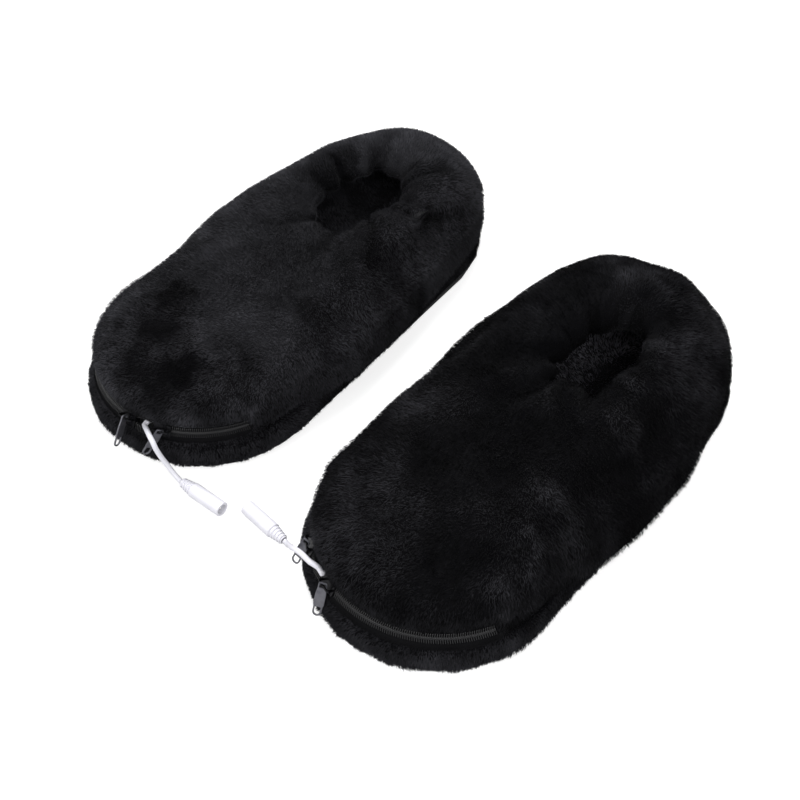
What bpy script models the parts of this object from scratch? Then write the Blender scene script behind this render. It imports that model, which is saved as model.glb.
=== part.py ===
"""A pair of heated plush shoes, each with a heating pad behind a zip with two sliders.

Metres, +Z up. The toes point to -Y. The wearer's right shoe stands at -X and the left one at +X,
and the origin is on the floor below the middle of the pair.
"""

import math

import bmesh
import bpy
from mathutils import Matrix, Vector

# The gap that touching pieces keep
SEAT = 0.0003

# Where the two shoes stand, and how they are turned
RIGHT_PLACE = (-0.0927, 0.0078)
LEFT_PLACE = (0.0943, -0.0062)
RIGHT_YAW = math.radians(0.6)
LEFT_YAW = math.radians(-1.8)

# Sole from above: a toe arc and a heel arc joined by straight sides
SHOE_LENGTH = 0.300
TOE_RADIUS = 0.072
HEEL_RADIUS = 0.066
ZIP_HALF_ANGLE = math.radians(67.5)
ZIP_END_BLEND = math.radians(4.0)
ZIP_STEPS = 10
TOE_SIDE_STEPS = 2
SIDE_STEPS = 4
HEEL_STEPS = 8

# Outsole with its grip dots
OUTSOLE_INSET = 0.0035
OUTSOLE_THICKNESS = 0.0022
DOT_HEIGHT = 0.0008
DOT_RADIUS = 0.0055
DOT_SINK = 0.0006
DOT_SIDE_MARGIN = 0.030
DOT_END_MARGIN = 0.035
DOTS_ACROSS = 3
DOTS_ALONG = 6
DOT_SIDES = 6

# Sole foam, and the plush band round it
FOAM_INSET = 0.0050
FOAM_THICKNESS = 0.0147
FOAM_EDGE = 0.0016
BAND_THICKNESS = 0.0032
BAND_FOOT = 0.0012
BAND_SHOULDER = 0.0022

# Heating pad, its wire and its joint with the cable
PAD_END_MARGIN = 0.055
PAD_WIDTH = 0.086
PAD_CENTRE = 0.010
PAD_CORNER = 0.018
PAD_THICKNESS = 0.0020
WIRE_RADIUS = 0.0008
WIRE_RUNS = 6
WIRE_PITCH = 0.0135
WIRE_MARGIN = 0.010
WIRE_END_STEP = 0.0054
WIRE_CORNER = 0.004
JOINT_LENGTH = 0.014
JOINT_WIDTH = 0.012
JOINT_AHEAD = 0.008
JOINT_CHAMFER = 0.0015
WIRE_SPREAD = 0.003

# Insole
INSOLE_INSET = 0.0155
INSOLE_THICKNESS = 0.0045
INSOLE_CROWN = 0.0012
INSOLE_CROWN_WIDTH = 0.012

# Upper: three layers over the foot, from the sole to the mouth
UPPER_INSET = 0.006
COVER_THICKNESS = 0.0030
WADDING_THICKNESS = 0.0024
LINING_THICKNESS = 0.0030
WALL_TOP = 0.0364
RISE_HANDLE = 0.0150
MOUTH_RISE = 0.0035
MOUTH_CROWN = 0.0225
MOUTH_HANDLE_SHARE = 0.44
MOUTH_HEM = 0.008
COVER_ABOVE_ZIP = 0.0135
WADDING_ABOVE_ZIP = 0.0175
LINING_ABOVE_ZIP = 0.0101
SECTION_SHARES = (0.0, 0.2, 0.4, 0.6, 0.8, 1.0)
ELASTIC_RADIUS = 0.0010

# The middle of each mouth: sideways from the sole's, ahead of the heel's, and its height
RIGHT_MOUTH = (0.009, 0.033, 0.0580)
LEFT_MOUTH = (0.006, 0.037, 0.0665)

# Half the length and half the width of each mouth
RIGHT_MOUTH_SIZE = (0.037, 0.028)
LEFT_MOUTH_SIZE = (0.036, 0.0235)

# Each pleat's bearing round the mouth from the toe and its half width, in degrees, and its depth
RIGHT_PLEATS = (
    (62, 9, 0.0055),
    (103, 10, 0.0055),
    (139, 11, 0.0060),
    (180, 12, 0.0035),
    (224, 10, 0.0055),
    (300, 10, 0.0060),
)
LEFT_PLEATS = (
    (40, 10, 0.0045),
    (76, 10, 0.0055),
    (128, 12, 0.0045),
    (171, 12, 0.0040),
    (226, 11, 0.0045),
    (285, 10, 0.0050),
)

# Zip: an arc about the toe's centre on a plane that leans inwards
ZIP_INSET = 0.008
ZIP_HEIGHT = 0.0245
ZIP_LEAN = math.radians(30)
ROW_EDGE = 0.0020
ROW_VALLEY = 0.0012
ROW_PEAK = 0.0005
ROW_HALF_THICKNESS = 0.00085
ROW_PITCH = 0.0030
ROW_END = math.radians(2.0)
ZIP_OPENING = 0.0032
TAPE_THICKNESS = 0.0005
UPPER_TAPE_FLAT = 0.0062
UPPER_TAPE_HEM = 0.0040
UPPER_TAPE_BEND = 0.0011
LOWER_TAPE_FLAT = 0.0068
LOWER_TAPE_HEM = 0.0072
LOWER_TAPE_BEND = 0.0014
TAPE_HEM_GAP = 0.0005
TAPE_STEPS = 20
TAPE_STEPS_PARTED = 8
STOP_WIDTH = 0.0040
STOP_THICKNESS = 0.0022
STOP_LENGTH = 0.0015

# Zip slider: two plates with turned edges, a post between the rows, and a bail
SLIDER_LENGTH = 0.0100
PLATE_GAP = 0.0024
PLATE_THICKNESS = 0.0009
SLOT_HEIGHT = 0.0013
FLANGE = 0.0008
TAIL_ROOM = 0.0023
WAIST_ROOM = 0.0025
NOSE_ROOM = 0.0044
POST_LENGTH = 0.0020
POST_ROOT = 0.0003
POST_NOSE = 0.0008
BAIL_LENGTH = 0.0088
BAIL_THICKNESS = 0.0009
BAIL_RISE = 0.0032
BAIL_CORNER = 0.0008

# Pull tab: a plate with an eye round the bail and a loop at its end
TAB_LENGTH = 0.0180
TAB_THICKNESS = 0.0009
TAB_WIDTH = 0.0055
EYE_WIDTH = 0.0032
EYE_HEIGHT = 0.0024
EYE_RIM = 0.0007
TAB_NECK = 0.0016
TAB_SHOULDER = 0.0050
PLATE_END = 0.0112
LOOP_RADIUS = 0.0024
LOOP_WIRE = 0.0009
LOOP_NECK = 0.0012
LOOP_STEPS = 6

# Cable, and the socket on its end
CABLE_RADIUS = 0.0015
CABLE_STEP = 0.0065
SOCKET_RADIUS = 0.0045
SOCKET_BODY = 0.0220
SOCKET_EDGE = 0.0006
RELIEF_LENGTH = 0.0088
RELIEF_START_RADIUS = 0.0022
RELIEF_END_RADIUS = 0.0034
RELIEF_RIB = 0.0006
RELIEF_RIBS = 4
SOCKET_BORE = 0.0029
SOCKET_DEPTH = 0.0100
INSULATOR_LENGTH = 0.0020
PIN_RADIUS = 0.0010
PIN_LENGTH = 0.0085
PIN_TIP = 0.0006
CONTACT_LENGTH = 0.0062
CONTACT_WIDTH = 0.0016
CONTACT_THICKNESS = 0.0003
SOCKET_SIDES = 12

# Each cable's route outside the shoe, from the toe's centre and the floor
RIGHT_ROUTE = (
    (0.0188, -0.0660, 0.0260),
    (0.0244, -0.0687, 0.0270),
    (0.0281, -0.0701, 0.0263),
    (0.0305, -0.0708, 0.0232),
    (0.0326, -0.0704, 0.0183),
    (0.0350, -0.0696, 0.0133),
    (0.0378, -0.0692, 0.0092),
    (0.0412, -0.0690, 0.0059),
)
LEFT_ROUTE = (
    (-0.0296, -0.0584, 0.0250),
    (-0.0348, -0.0591, 0.0254),
    (-0.0418, -0.0584, 0.0254),
    (-0.0463, -0.0582, 0.0245),
    (-0.0508, -0.0568, 0.0202),
    (-0.0545, -0.0540, 0.0148),
    (-0.0584, -0.0519, 0.0096),
    (-0.0617, -0.0503, 0.0060),
)
RIGHT_SOCKET = (0.0455, -0.0690)
LEFT_SOCKET = (-0.0655, -0.0491)
RIGHT_SOCKET_HEADING = math.radians(1)
LEFT_SOCKET_HEADING = math.radians(176)
CABLE_STUB = 0.0012

# The cable inside the shoe: how far in from the zip and how far below it each place lies
LEAD_DIP = (0.0030, 0.0007)
LEAD_DROP = (0.0055, 0.0033)
LEAD_FLOOR = (0.0085, 0.0046)
LEAD_STRAIGHT = 0.0150
LEAD_RUN_OUT = 0.0060

# Derived heights, from the floor up
OUTSOLE_TOP = DOT_HEIGHT + OUTSOLE_THICKNESS
FOAM_BOTTOM = OUTSOLE_TOP + SEAT
FOAM_TOP = FOAM_BOTTOM + FOAM_THICKNESS
PAD_BOTTOM = FOAM_TOP + SEAT
PAD_TOP = PAD_BOTTOM + PAD_THICKNESS
WIRE_HEIGHT = PAD_TOP + SEAT + WIRE_RADIUS
INSOLE_BOTTOM = WIRE_HEIGHT + WIRE_RADIUS + SEAT
INSOLE_TOP = INSOLE_BOTTOM + INSOLE_THICKNESS
UPPER_FOOT = FOAM_TOP + SEAT

# Derived places in the plan
TOE_CENTRE = TOE_RADIUS - SHOE_LENGTH / 2
HEEL_CENTRE = SHOE_LENGTH / 2 - HEEL_RADIUS
PAD_LENGTH = SHOE_LENGTH - 2 * PAD_END_MARGIN
SIDE_TILT = math.asin((TOE_RADIUS - HEEL_RADIUS) / (HEEL_CENTRE - TOE_CENTRE))
ZIP_RADIUS = TOE_RADIUS - ZIP_INSET

# Height of the socket's axis over the floor that its flat side lies on
SOCKET_HEIGHT = SOCKET_RADIUS * math.cos(math.pi / SOCKET_SIDES)

# Depths of the upper's layers below its outer face
WADDING_DEPTH = COVER_THICKNESS + SEAT
LINING_DEPTH = WADDING_DEPTH + WADDING_THICKNESS + SEAT
UPPER_DEPTH = LINING_DEPTH + LINING_THICKNESS
LIP_RADIUS = UPPER_DEPTH / 2

# Heights of the slider's faces and of its bail over the zip's plane
PLATE_INNER = PLATE_GAP / 2
PLATE_OUTER = PLATE_INNER + PLATE_THICKNESS
BAIL_AXIS = PLATE_OUTER + BAIL_RISE

# Colour, roughness and metallic value of each finish
FINISHES = {
    "plush": ((0.011, 0.011, 0.013), 0.95, 0.0),
    "fleece": ((0.016, 0.016, 0.018), 0.95, 0.0),
    "foam": ((0.45, 0.44, 0.42), 0.90, 0.0),
    "grip": ((0.030, 0.030, 0.032), 0.70, 0.0),
    "felt": ((0.20, 0.20, 0.21), 0.90, 0.0),
    "heating_wire": ((0.55, 0.10, 0.05), 0.45, 0.0),
    "tape": ((0.013, 0.013, 0.014), 0.80, 0.0),
    "coil": ((0.020, 0.020, 0.022), 0.38, 0.0),
    "gunmetal": ((0.055, 0.055, 0.060), 0.32, 0.9),
    "white_plastic": ((0.86, 0.86, 0.89), 0.35, 0.0),
    "nickel": ((0.62, 0.60, 0.57), 0.25, 1.0),
}


class Shoe:
    """What is unlike in the two shoes, and the empty that carries one."""

    def __init__(self, side, place, yaw, mouth, mouth_size, sliders, exit_angle, pulls, pleats, route, socket, heading):
        self.side = side
        self.mouth = Vector((mouth[0], HEEL_CENTRE - mouth[1], mouth[2]))
        self.mouth_size = mouth_size
        self.sliders = [math.radians(angle) for angle in sliders]
        self.exit_angle = math.radians(exit_angle)
        self.pulls = pulls
        self.pleats = pleats
        self.route = route
        self.socket = socket
        self.heading = heading
        self.root = bpy.data.objects.new(side + "_shoe", None)
        bpy.context.scene.collection.objects.link(self.root)
        self.root.location = (place[0], place[1], 0)
        self.root.rotation_euler.z = yaw

    def name(self, piece):
        return self.side + "_" + piece


def clear_scene():
    for ob in list(bpy.data.objects):
        bpy.data.objects.remove(ob, do_unlink=True)


def finish(name, look):
    """One Principled material for one piece."""
    colour, roughness, metallic = FINISHES[look]
    material = bpy.data.materials.new(name)
    material.use_nodes = True
    shader = material.node_tree.nodes["Principled BSDF"]
    shader.inputs["Base Color"].default_value = (*colour, 1)
    shader.inputs["Roughness"].default_value = roughness
    shader.inputs["Metallic"].default_value = metallic
    material.diffuse_color = (*colour, 1)
    return material


def place(name, data, look, parent):
    """A named piece with its own material, carried by an empty or by another piece."""
    ob = bpy.data.objects.new(name, data)
    bpy.context.scene.collection.objects.link(ob)
    data.materials.append(finish(name, look))
    ob.parent = parent
    return ob


def lofted(rings, looped=False, turn=None):
    """A closed skin over rings of equally many points: capped at its ends, or joined into a loop.

    Rings that turn back at a point have their faces split the other way from there on, so that skins
    side by side bend alike.
    """
    mesh = bmesh.new()
    rows = [[mesh.verts.new(point) for point in ring] for ring in rings]
    count = len(rows[0])
    pairs = list(zip(rows, rows[1:] + rows[:1])) if looped else list(zip(rows, rows[1:]))
    for first, second in pairs:
        for i in range(count):
            j = (i + 1) % count
            a, b, c, d = first[i], first[j], second[j], second[i]
            if turn is None:
                mesh.faces.new((a, b, c, d))
            elif i < turn:
                mesh.faces.new((a, b, c))
                mesh.faces.new((a, c, d))
            else:
                mesh.faces.new((a, b, d))
                mesh.faces.new((b, c, d))
    if not looped:
        mesh.faces.new(rows[0])
        mesh.faces.new(rows[-1])
    bmesh.ops.recalc_face_normals(mesh, faces=mesh.faces)
    data = bpy.data.meshes.new("skin")
    mesh.to_mesh(data)
    mesh.free()
    return data


def smooth(data, sharp_angle):
    data.shade_smooth()
    data.set_sharp_from_angle(angle=sharp_angle)
    return data


def tube(points, radius, resolution, cyclic=False):
    """A round bar along points, with filled ends."""
    data = bpy.data.curves.new("tube", "CURVE")
    data.dimensions = "3D"
    data.bevel_depth = radius
    data.bevel_resolution = resolution
    data.use_fill_caps = not cyclic
    spline = data.splines.new("POLY")
    spline.points.add(len(points) - 1)
    for knot, point in zip(spline.points, points):
        knot.co = (*point, 1)
    spline.use_cyclic_u = cyclic
    spline.use_smooth = True
    return data


def plate(outlines, thickness):
    """A flat plate in the XY plane: its outline first, then its holes."""
    data = bpy.data.curves.new("plate", "CURVE")
    data.dimensions = "2D"
    data.fill_mode = "BOTH"
    data.extrude = thickness / 2
    for outline in outlines:
        spline = data.splines.new("POLY")
        spline.points.add(len(outline) - 1)
        for knot, (x, y) in zip(spline.points, outline):
            knot.co = (x, y, 0, 1)
        spline.use_cyclic_u = True
    return data


def fused(meshes):
    """One body made of meshes that reach into each other."""
    parts = [bpy.data.objects.new("part", data) for data in meshes]
    for ob in parts:
        bpy.context.scene.collection.objects.link(ob)
    for other in parts[1:]:
        modifier = parts[0].modifiers.new("join", "BOOLEAN")
        modifier.operation = "UNION"
        modifier.solver = "EXACT"
        modifier.object = other
    bpy.context.view_layer.update()
    graph = bpy.context.evaluated_depsgraph_get()
    data = bpy.data.meshes.new_from_object(parts[0].evaluated_get(graph))
    for ob in parts:
        bpy.data.objects.remove(ob, do_unlink=True)
    return data


def smooth_route(points, step):
    """Points about a step apart on one smooth curve through the route's own points."""
    knots = [Vector(point) for point in points]
    knots = [2 * knots[0] - knots[1]] + knots + [2 * knots[-1] - knots[-2]]
    found = [knots[1]]
    for a, b, c, d in zip(knots, knots[1:], knots[2:], knots[3:]):
        pieces = max(1, round((c - b).length / step))
        for i in range(1, pieces + 1):
            t = i / pieces
            found.append(
                ((2 * b) + (c - a) * t + (2 * a - 5 * b + 4 * c - d) * t**2 + (3 * b - a - 3 * c + d) * t**3) / 2
            )
    return found


def filleted(corners, radius, steps):
    """An open line whose corners are rounded by arcs of one radius."""
    found = [corners[0]]
    for before, corner, after in zip(corners, corners[1:], corners[2:]):
        back = (before - corner).normalized()
        ahead = (after - corner).normalized()
        half = back.angle(ahead) / 2
        start = corner + back * (radius / math.tan(half))
        centre = corner + (back + ahead).normalized() * (radius / math.sin(half))
        end = corner + ahead * (radius / math.tan(half))
        turn = (start - centre).angle(end - centre)
        first = (start - centre).normalized()
        second = ((end - centre) - first * (end - centre).dot(first)).normalized()
        for i in range(steps + 1):
            angle = turn * i / steps
            found.append(centre + (first * math.cos(angle) + second * math.sin(angle)) * radius)
    found.append(corners[-1])
    return found


def station_list():
    """The columns round the sole: how far along the side or arc each lies, and its facing angle."""
    quarter = math.pi / 2 + SIDE_TILT
    side_start = ZIP_HALF_ANGLE + ZIP_END_BLEND
    toe = [ZIP_HALF_ANGLE * (2 * i / ZIP_STEPS - 1) for i in range(ZIP_STEPS + 1)]
    toe += [side_start + (quarter - side_start) * i / TOE_SIDE_STEPS for i in range(TOE_SIDE_STEPS + 1)]
    stations = [("toe", angle) for angle in toe]
    stations += [("right_side", i / SIDE_STEPS) for i in range(1, SIDE_STEPS)]
    stations += [("heel", quarter + (2 * math.pi - 2 * quarter) * i / HEEL_STEPS) for i in range(HEEL_STEPS + 1)]
    stations += [("left_side", i / SIDE_STEPS) for i in range(1, SIDE_STEPS)]
    stations += [("toe", -angle) for angle in reversed(toe[ZIP_STEPS + 1:])]
    return stations


def facing(angle):
    """The level direction that looks outwards at an angle from the toe, towards +X."""
    return Vector((math.sin(angle), -math.cos(angle), 0))


def outline_point(station, inset):
    """A point of the sole's outline, drawn in by an inset."""
    where, amount = station
    quarter = math.pi / 2 + SIDE_TILT
    toe = Vector((0, TOE_CENTRE, 0))
    heel = Vector((0, HEEL_CENTRE, 0))
    if where == "toe":
        return toe + facing(amount) * (TOE_RADIUS - inset)
    if where == "heel":
        return heel + facing(amount) * (HEEL_RADIUS - inset)
    outward = facing(quarter if where == "right_side" else -quarter)
    toe_end = toe + outward * (TOE_RADIUS - inset)
    heel_end = heel + outward * (HEEL_RADIUS - inset)
    return toe_end.lerp(heel_end, amount if where == "right_side" else 1 - amount)


def outline_facing(station):
    where, amount = station
    quarter = math.pi / 2 + SIDE_TILT
    if where in ("toe", "heel"):
        return facing(amount)
    return facing(quarter if where == "right_side" else -quarter)


def slab(levels):
    """A solid in the sole's outline, from levels of inset and height."""
    rings = []
    for inset, height in levels:
        rings.append([outline_point(station, inset) + Vector((0, 0, height)) for station in station_list()])
    return lofted(rings)


def outsole(shoe):
    """The outsole, with its grip dots standing under it."""
    base = slab(((OUTSOLE_INSET, DOT_HEIGHT), (OUTSOLE_INSET, OUTSOLE_TOP)))
    dots = [base]
    across = HEEL_RADIUS - DOT_SIDE_MARGIN
    along = SHOE_LENGTH / 2 - DOT_END_MARGIN
    for i in range(DOTS_ACROSS):
        for j in range(DOTS_ALONG):
            x = (2 * i / (DOTS_ACROSS - 1) - 1) * across
            y = (2 * j / (DOTS_ALONG - 1) - 1) * along
            ring = [facing(2 * math.pi * k / DOT_SIDES) * DOT_RADIUS + Vector((x, y, 0)) for k in range(DOT_SIDES)]
            dots.append(lofted((ring, [point + Vector((0, 0, DOT_HEIGHT + DOT_SINK)) for point in ring])))
    place(shoe.name("outsole"), fused(dots), "grip", shoe.root)


def sole_foam(shoe):
    levels = (
        (FOAM_INSET + FOAM_EDGE, FOAM_BOTTOM),
        (FOAM_INSET, FOAM_BOTTOM + FOAM_EDGE),
        (FOAM_INSET, FOAM_TOP - 2 * FOAM_EDGE),
        (FOAM_INSET + FOAM_EDGE, FOAM_TOP),
    )
    place(shoe.name("sole_foam"), smooth(slab(levels), math.radians(50)), "foam", shoe.root)


def sole_band(shoe):
    """The plush band that wraps the sole's edge."""
    middle = (DOT_HEIGHT + FOAM_TOP) / 2
    profile = (
        (BAND_THICKNESS, DOT_HEIGHT),
        (BAND_FOOT, DOT_HEIGHT),
        (0, middle - BAND_FOOT),
        (0, middle + BAND_FOOT),
        (BAND_SHOULDER, FOAM_TOP),
        (BAND_THICKNESS, FOAM_TOP),
    )
    sections = []
    for station in station_list():
        sections.append([outline_point(station, inset) + Vector((0, 0, height)) for inset, height in profile])
    place(shoe.name("sole_band"), smooth(lofted(sections, looped=True), math.radians(60)), "plush", shoe.root)


def heater_pad(shoe):
    """The sheet that carries the heating wire."""
    half = Vector((PAD_WIDTH / 2, PAD_LENGTH / 2, 0))
    ring = []
    for sx, sy, start in ((1, 1, 0), (-1, 1, 1), (-1, -1, 2), (1, -1, 3)):
        centre = Vector((sx * (half.x - PAD_CORNER), sy * (half.y - PAD_CORNER) + PAD_CENTRE, PAD_BOTTOM))
        for i in range(4):
            angle = math.pi / 2 * (start + i / 3)
            ring.append(centre + Vector((math.cos(angle), math.sin(angle), 0)) * PAD_CORNER)
    top = [point + Vector((0, 0, PAD_THICKNESS)) for point in ring]
    place(shoe.name("heater_pad"), lofted((ring, top)), "felt", shoe.root)


def joint_faces():
    """Where the heating wire's joint starts and ends along the shoe."""
    back = PAD_CENTRE - PAD_LENGTH / 2 - JOINT_AHEAD
    return back - JOINT_LENGTH, back


def heating_wire(shoe):
    """One wire from the joint, up and down the pad, and back to the joint."""
    front, back = joint_faces()
    near = PAD_CENTRE - PAD_LENGTH / 2 + WIRE_MARGIN
    far = PAD_CENTRE + PAD_LENGTH / 2 - WIRE_MARGIN
    rows = [(i - (WIRE_RUNS - 1) / 2) * WIRE_PITCH for i in range(WIRE_RUNS)]
    first = near - WIRE_END_STEP
    corners = [(-WIRE_SPREAD, back + SEAT), (-WIRE_SPREAD, first), (rows[0], first)]
    for i, x in enumerate(rows):
        ends = (near, far) if i % 2 == 0 else (far, near)
        if i > 0:
            corners.append((x, ends[0]))
        if i < WIRE_RUNS - 1:
            corners.append((x, ends[1]))
    corners += [(rows[-1], first), (WIRE_SPREAD, first), (WIRE_SPREAD, back + SEAT)]
    line = [Vector((x, y, WIRE_HEIGHT)) for x, y in corners]
    place(shoe.name("heating_wire"), tube(filleted(line, WIRE_CORNER, 2), WIRE_RADIUS, 1), "heating_wire", shoe.root)


def heater_joint(shoe):
    """The moulded joint between the cable and the heating wire."""
    front, back = joint_faces()
    half = JOINT_WIDTH / 2
    top = INSOLE_BOTTOM - SEAT
    profile = (
        (-half, PAD_BOTTOM),
        (half, PAD_BOTTOM),
        (half, top - JOINT_CHAMFER),
        (half - JOINT_CHAMFER, top),
        (JOINT_CHAMFER - half, top),
        (-half, top - JOINT_CHAMFER),
    )
    rings = [[Vector((x, y, z)) for x, z in profile] for y in (front, back)]
    place(shoe.name("heater_joint"), lofted(rings), "white_plastic", shoe.root)


def insole(shoe):
    levels = (
        (INSOLE_INSET, INSOLE_BOTTOM),
        (INSOLE_INSET, INSOLE_TOP - INSOLE_CROWN),
        (INSOLE_INSET + INSOLE_CROWN_WIDTH, INSOLE_TOP),
    )
    place(shoe.name("insole"), smooth(slab(levels), math.radians(60)), "fleece", shoe.root)


def mouth_bearing(shoe, station):
    """The direction of a column as seen from the mouth's centre, from the toe towards +X."""
    base = outline_point(station, UPPER_INSET)
    return math.atan2(base.x - shoe.mouth.x, shoe.mouth.y - base.y)


def section_vectors(shoe, station):
    """Control points of a column of the upper's outer face, and how they shift with depth."""
    bearing = mouth_bearing(shoe, station)
    outward = facing(bearing)
    base = outline_point(station, UPPER_INSET) + Vector((0, 0, WALL_TOP))
    half_length, half_width = shoe.mouth_size
    across = math.hypot(math.sin(bearing) * half_length, math.cos(bearing) * half_width)
    reach = half_length * half_width / across
    lift = MOUTH_RISE * reach / half_length
    mouth = shoe.mouth + outward * reach - Vector((0, 0, lift * math.cos(bearing)))
    span = (Vector((base.x, base.y, 0)) - Vector((mouth.x, mouth.y, 0))).length
    crest = mouth + outward * (span * MOUTH_HANDLE_SHARE) + Vector((0, 0, MOUTH_CROWN))
    controls = (base, base + Vector((0, 0, RISE_HANDLE)), crest, mouth)
    along = (mouth - crest).normalized()
    down = (outward * -along.z + Vector((0, 0, 1)) * along.dot(outward)).normalized()
    down = down if down.z < 0 else -down
    inward = -outline_facing(station)
    shifts = (inward, inward - Vector((0, 0, 0.5)), down + along * 0.5, down)
    return controls, shifts, along, (mouth - crest).length


def bezier(controls, t):
    a, b, c, d = controls
    s = 1 - t
    return a * s**3 + b * (3 * s * s * t) + c * (3 * s * t * t) + d * t**3


def pleat(shoe, station, t):
    """How deep the pleats draw the upper in at a column."""
    bearing = math.degrees(mouth_bearing(shoe, station)) % 360
    total = 0
    for angle, half_width, depth in shoe.pleats:
        away = (bearing - angle + 180) % 360 - 180
        total += depth * math.exp(-((away / half_width) ** 2))
    return total * t**2


def upper_point(shoe, station, t, depth):
    controls, shifts, _, _ = section_vectors(shoe, station)
    return bezier(controls, t) + bezier(shifts, t) * (depth + pleat(shoe, station, t))


def foot_height(station, above_zip):
    """A layer's lower edge: on the sole, or above the zip."""
    where, angle = station
    over_zip = where == "toe" and abs(angle) < ZIP_HALF_ANGLE + ZIP_END_BLEND / 2
    return UPPER_FOOT + above_zip if over_zip else UPPER_FOOT


def foot_point(station, above_zip, depth):
    point = outline_point(station, UPPER_INSET + depth)
    return Vector((point.x, point.y, foot_height(station, above_zip)))


def hem_share(shoe, station, length):
    """How far along a column a strip of this length starts before the mouth."""
    _, _, _, handle = section_vectors(shoe, station)
    return 1 - length / (3 * handle)


def lip_point(shoe, station, radius, angle):
    """A point of the rolled rim, turned from the outer face round to the inner one."""
    _, shifts, along, _ = section_vectors(shoe, station)
    centre = upper_point(shoe, station, 1, LIP_RADIUS)
    return centre + along * (radius * math.sin(angle)) - shifts[3] * (radius * math.cos(angle))


def upper_cover(shoe):
    """The plush cover: up over the foot, round the elastic at the mouth and a hem's width inside."""
    inner_lip = LIP_RADIUS - COVER_THICKNESS
    sections = []
    for station in station_list():
        hem = hem_share(shoe, station, MOUTH_HEM)
        section = [foot_point(station, COVER_ABOVE_ZIP, 0)]
        section += [upper_point(shoe, station, t, 0) for t in SECTION_SHARES]
        section += [lip_point(shoe, station, LIP_RADIUS, math.pi * i / 4) for i in (1, 2, 3)]
        section += [upper_point(shoe, station, t, UPPER_DEPTH) for t in (1, hem)]
        section += [upper_point(shoe, station, t, LINING_DEPTH) for t in (hem, 1)]
        section += [lip_point(shoe, station, inner_lip, math.pi * i / 3) for i in (2, 1)]
        section += [upper_point(shoe, station, t, COVER_THICKNESS) for t in reversed(SECTION_SHARES)]
        section.append(foot_point(station, COVER_ABOVE_ZIP, COVER_THICKNESS))
        sections.append(section)
    turn = len(sections[0]) - len(SECTION_SHARES) - 1
    data = smooth(lofted(sections, looped=True, turn=turn), math.radians(60))
    place(shoe.name("upper_cover"), data, "plush", shoe.root)


def layer(shoe, shallow, deep, above_zip, last_share):
    """A layer of the upper between two depths, from its foot to a share of each column."""
    sections = []
    for station in station_list():
        shares = list(SECTION_SHARES[:-1]) + ([last_share(station)] if last_share else [])
        section = [foot_point(station, above_zip, shallow)]
        section += [upper_point(shoe, station, t, shallow) for t in shares]
        section += [upper_point(shoe, station, t, deep) for t in reversed(shares)]
        section.append(foot_point(station, above_zip, deep))
        sections.append(section)
    return smooth(lofted(sections, looped=True, turn=len(sections[0]) // 2), math.radians(60))


def upper_wadding(shoe):
    data = layer(shoe, WADDING_DEPTH, WADDING_DEPTH + WADDING_THICKNESS, WADDING_ABOVE_ZIP, None)
    place(shoe.name("upper_wadding"), data, "foam", shoe.root)


def upper_lining(shoe):
    """The fleece lining, which meets the cover's hem inside the mouth."""
    data = layer(
        shoe,
        LINING_DEPTH,
        UPPER_DEPTH,
        LINING_ABOVE_ZIP,
        lambda station: hem_share(shoe, station, MOUTH_HEM + 2 * SEAT),
    )
    place(shoe.name("upper_lining"), data, "fleece", shoe.root)


def mouth_elastic(shoe):
    ring = [upper_point(shoe, station, 1, LIP_RADIUS) for station in station_list()]
    place(shoe.name("mouth_elastic"), tube(ring, ELASTIC_RADIUS, 1, cyclic=True), "tape", shoe.root)


def zip_point(angle, across, out):
    """A point of the zip: its angle about the toe's centre, up across the tape, and out of its plane."""
    radial = ZIP_RADIUS - across * math.sin(ZIP_LEAN) + out * math.cos(ZIP_LEAN)
    height = ZIP_HEIGHT + across * math.cos(ZIP_LEAN) + out * math.sin(ZIP_LEAN)
    return facing(angle) * radial + Vector((0, 0, height))


def on_toe(point):
    return point + Vector((0, TOE_CENTRE, 0))


def parting(shoe, angle):
    """How far each row stands off the zip's middle between the two sliders."""
    start, end = shoe.sliders
    if not start < angle < end:
        return 0
    return ZIP_OPENING * math.sin(math.pi * (angle - start) / (end - start))


def zip_coil(shoe, side):
    """One row of the chain: peaks that reach between the peaks of the other row."""
    half_angle = ZIP_HALF_ANGLE - ROW_END
    count = 2 * round(half_angle * ZIP_RADIUS / ROW_PITCH)
    sections = []
    for i in range(2 * count + 1):
        angle = half_angle * (i / count - 1)
        edge = -ROW_PEAK if (i % 2 == 0) == (side > 0) else ROW_VALLEY
        shift = parting(shoe, angle)
        corners = ((edge, -1), (edge, 1), (ROW_EDGE, 1), (ROW_EDGE, -1))
        sections.append(
            [on_toe(zip_point(angle, side * (across + shift), out * ROW_HALF_THICKNESS)) for across, out in corners]
        )
    name = "zip_coil_upper" if side > 0 else "zip_coil_lower"
    place(shoe.name(name), lofted(sections), "coil", shoe.root)


def thick_line(points):
    """The outline of a strip of tape seen from its end, from points of radius and height."""
    fronts, backs = [], []
    for i, point in enumerate(points):
        before = points[max(i - 1, 0)]
        after = points[min(i + 1, len(points) - 1)]
        along = (after - before).normalized()
        side = Vector((-along.y, along.x)) * (TAPE_THICKNESS / 2)
        fronts.append(point + side)
        backs.append(point - side)
    return fronts + backs[::-1]


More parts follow.
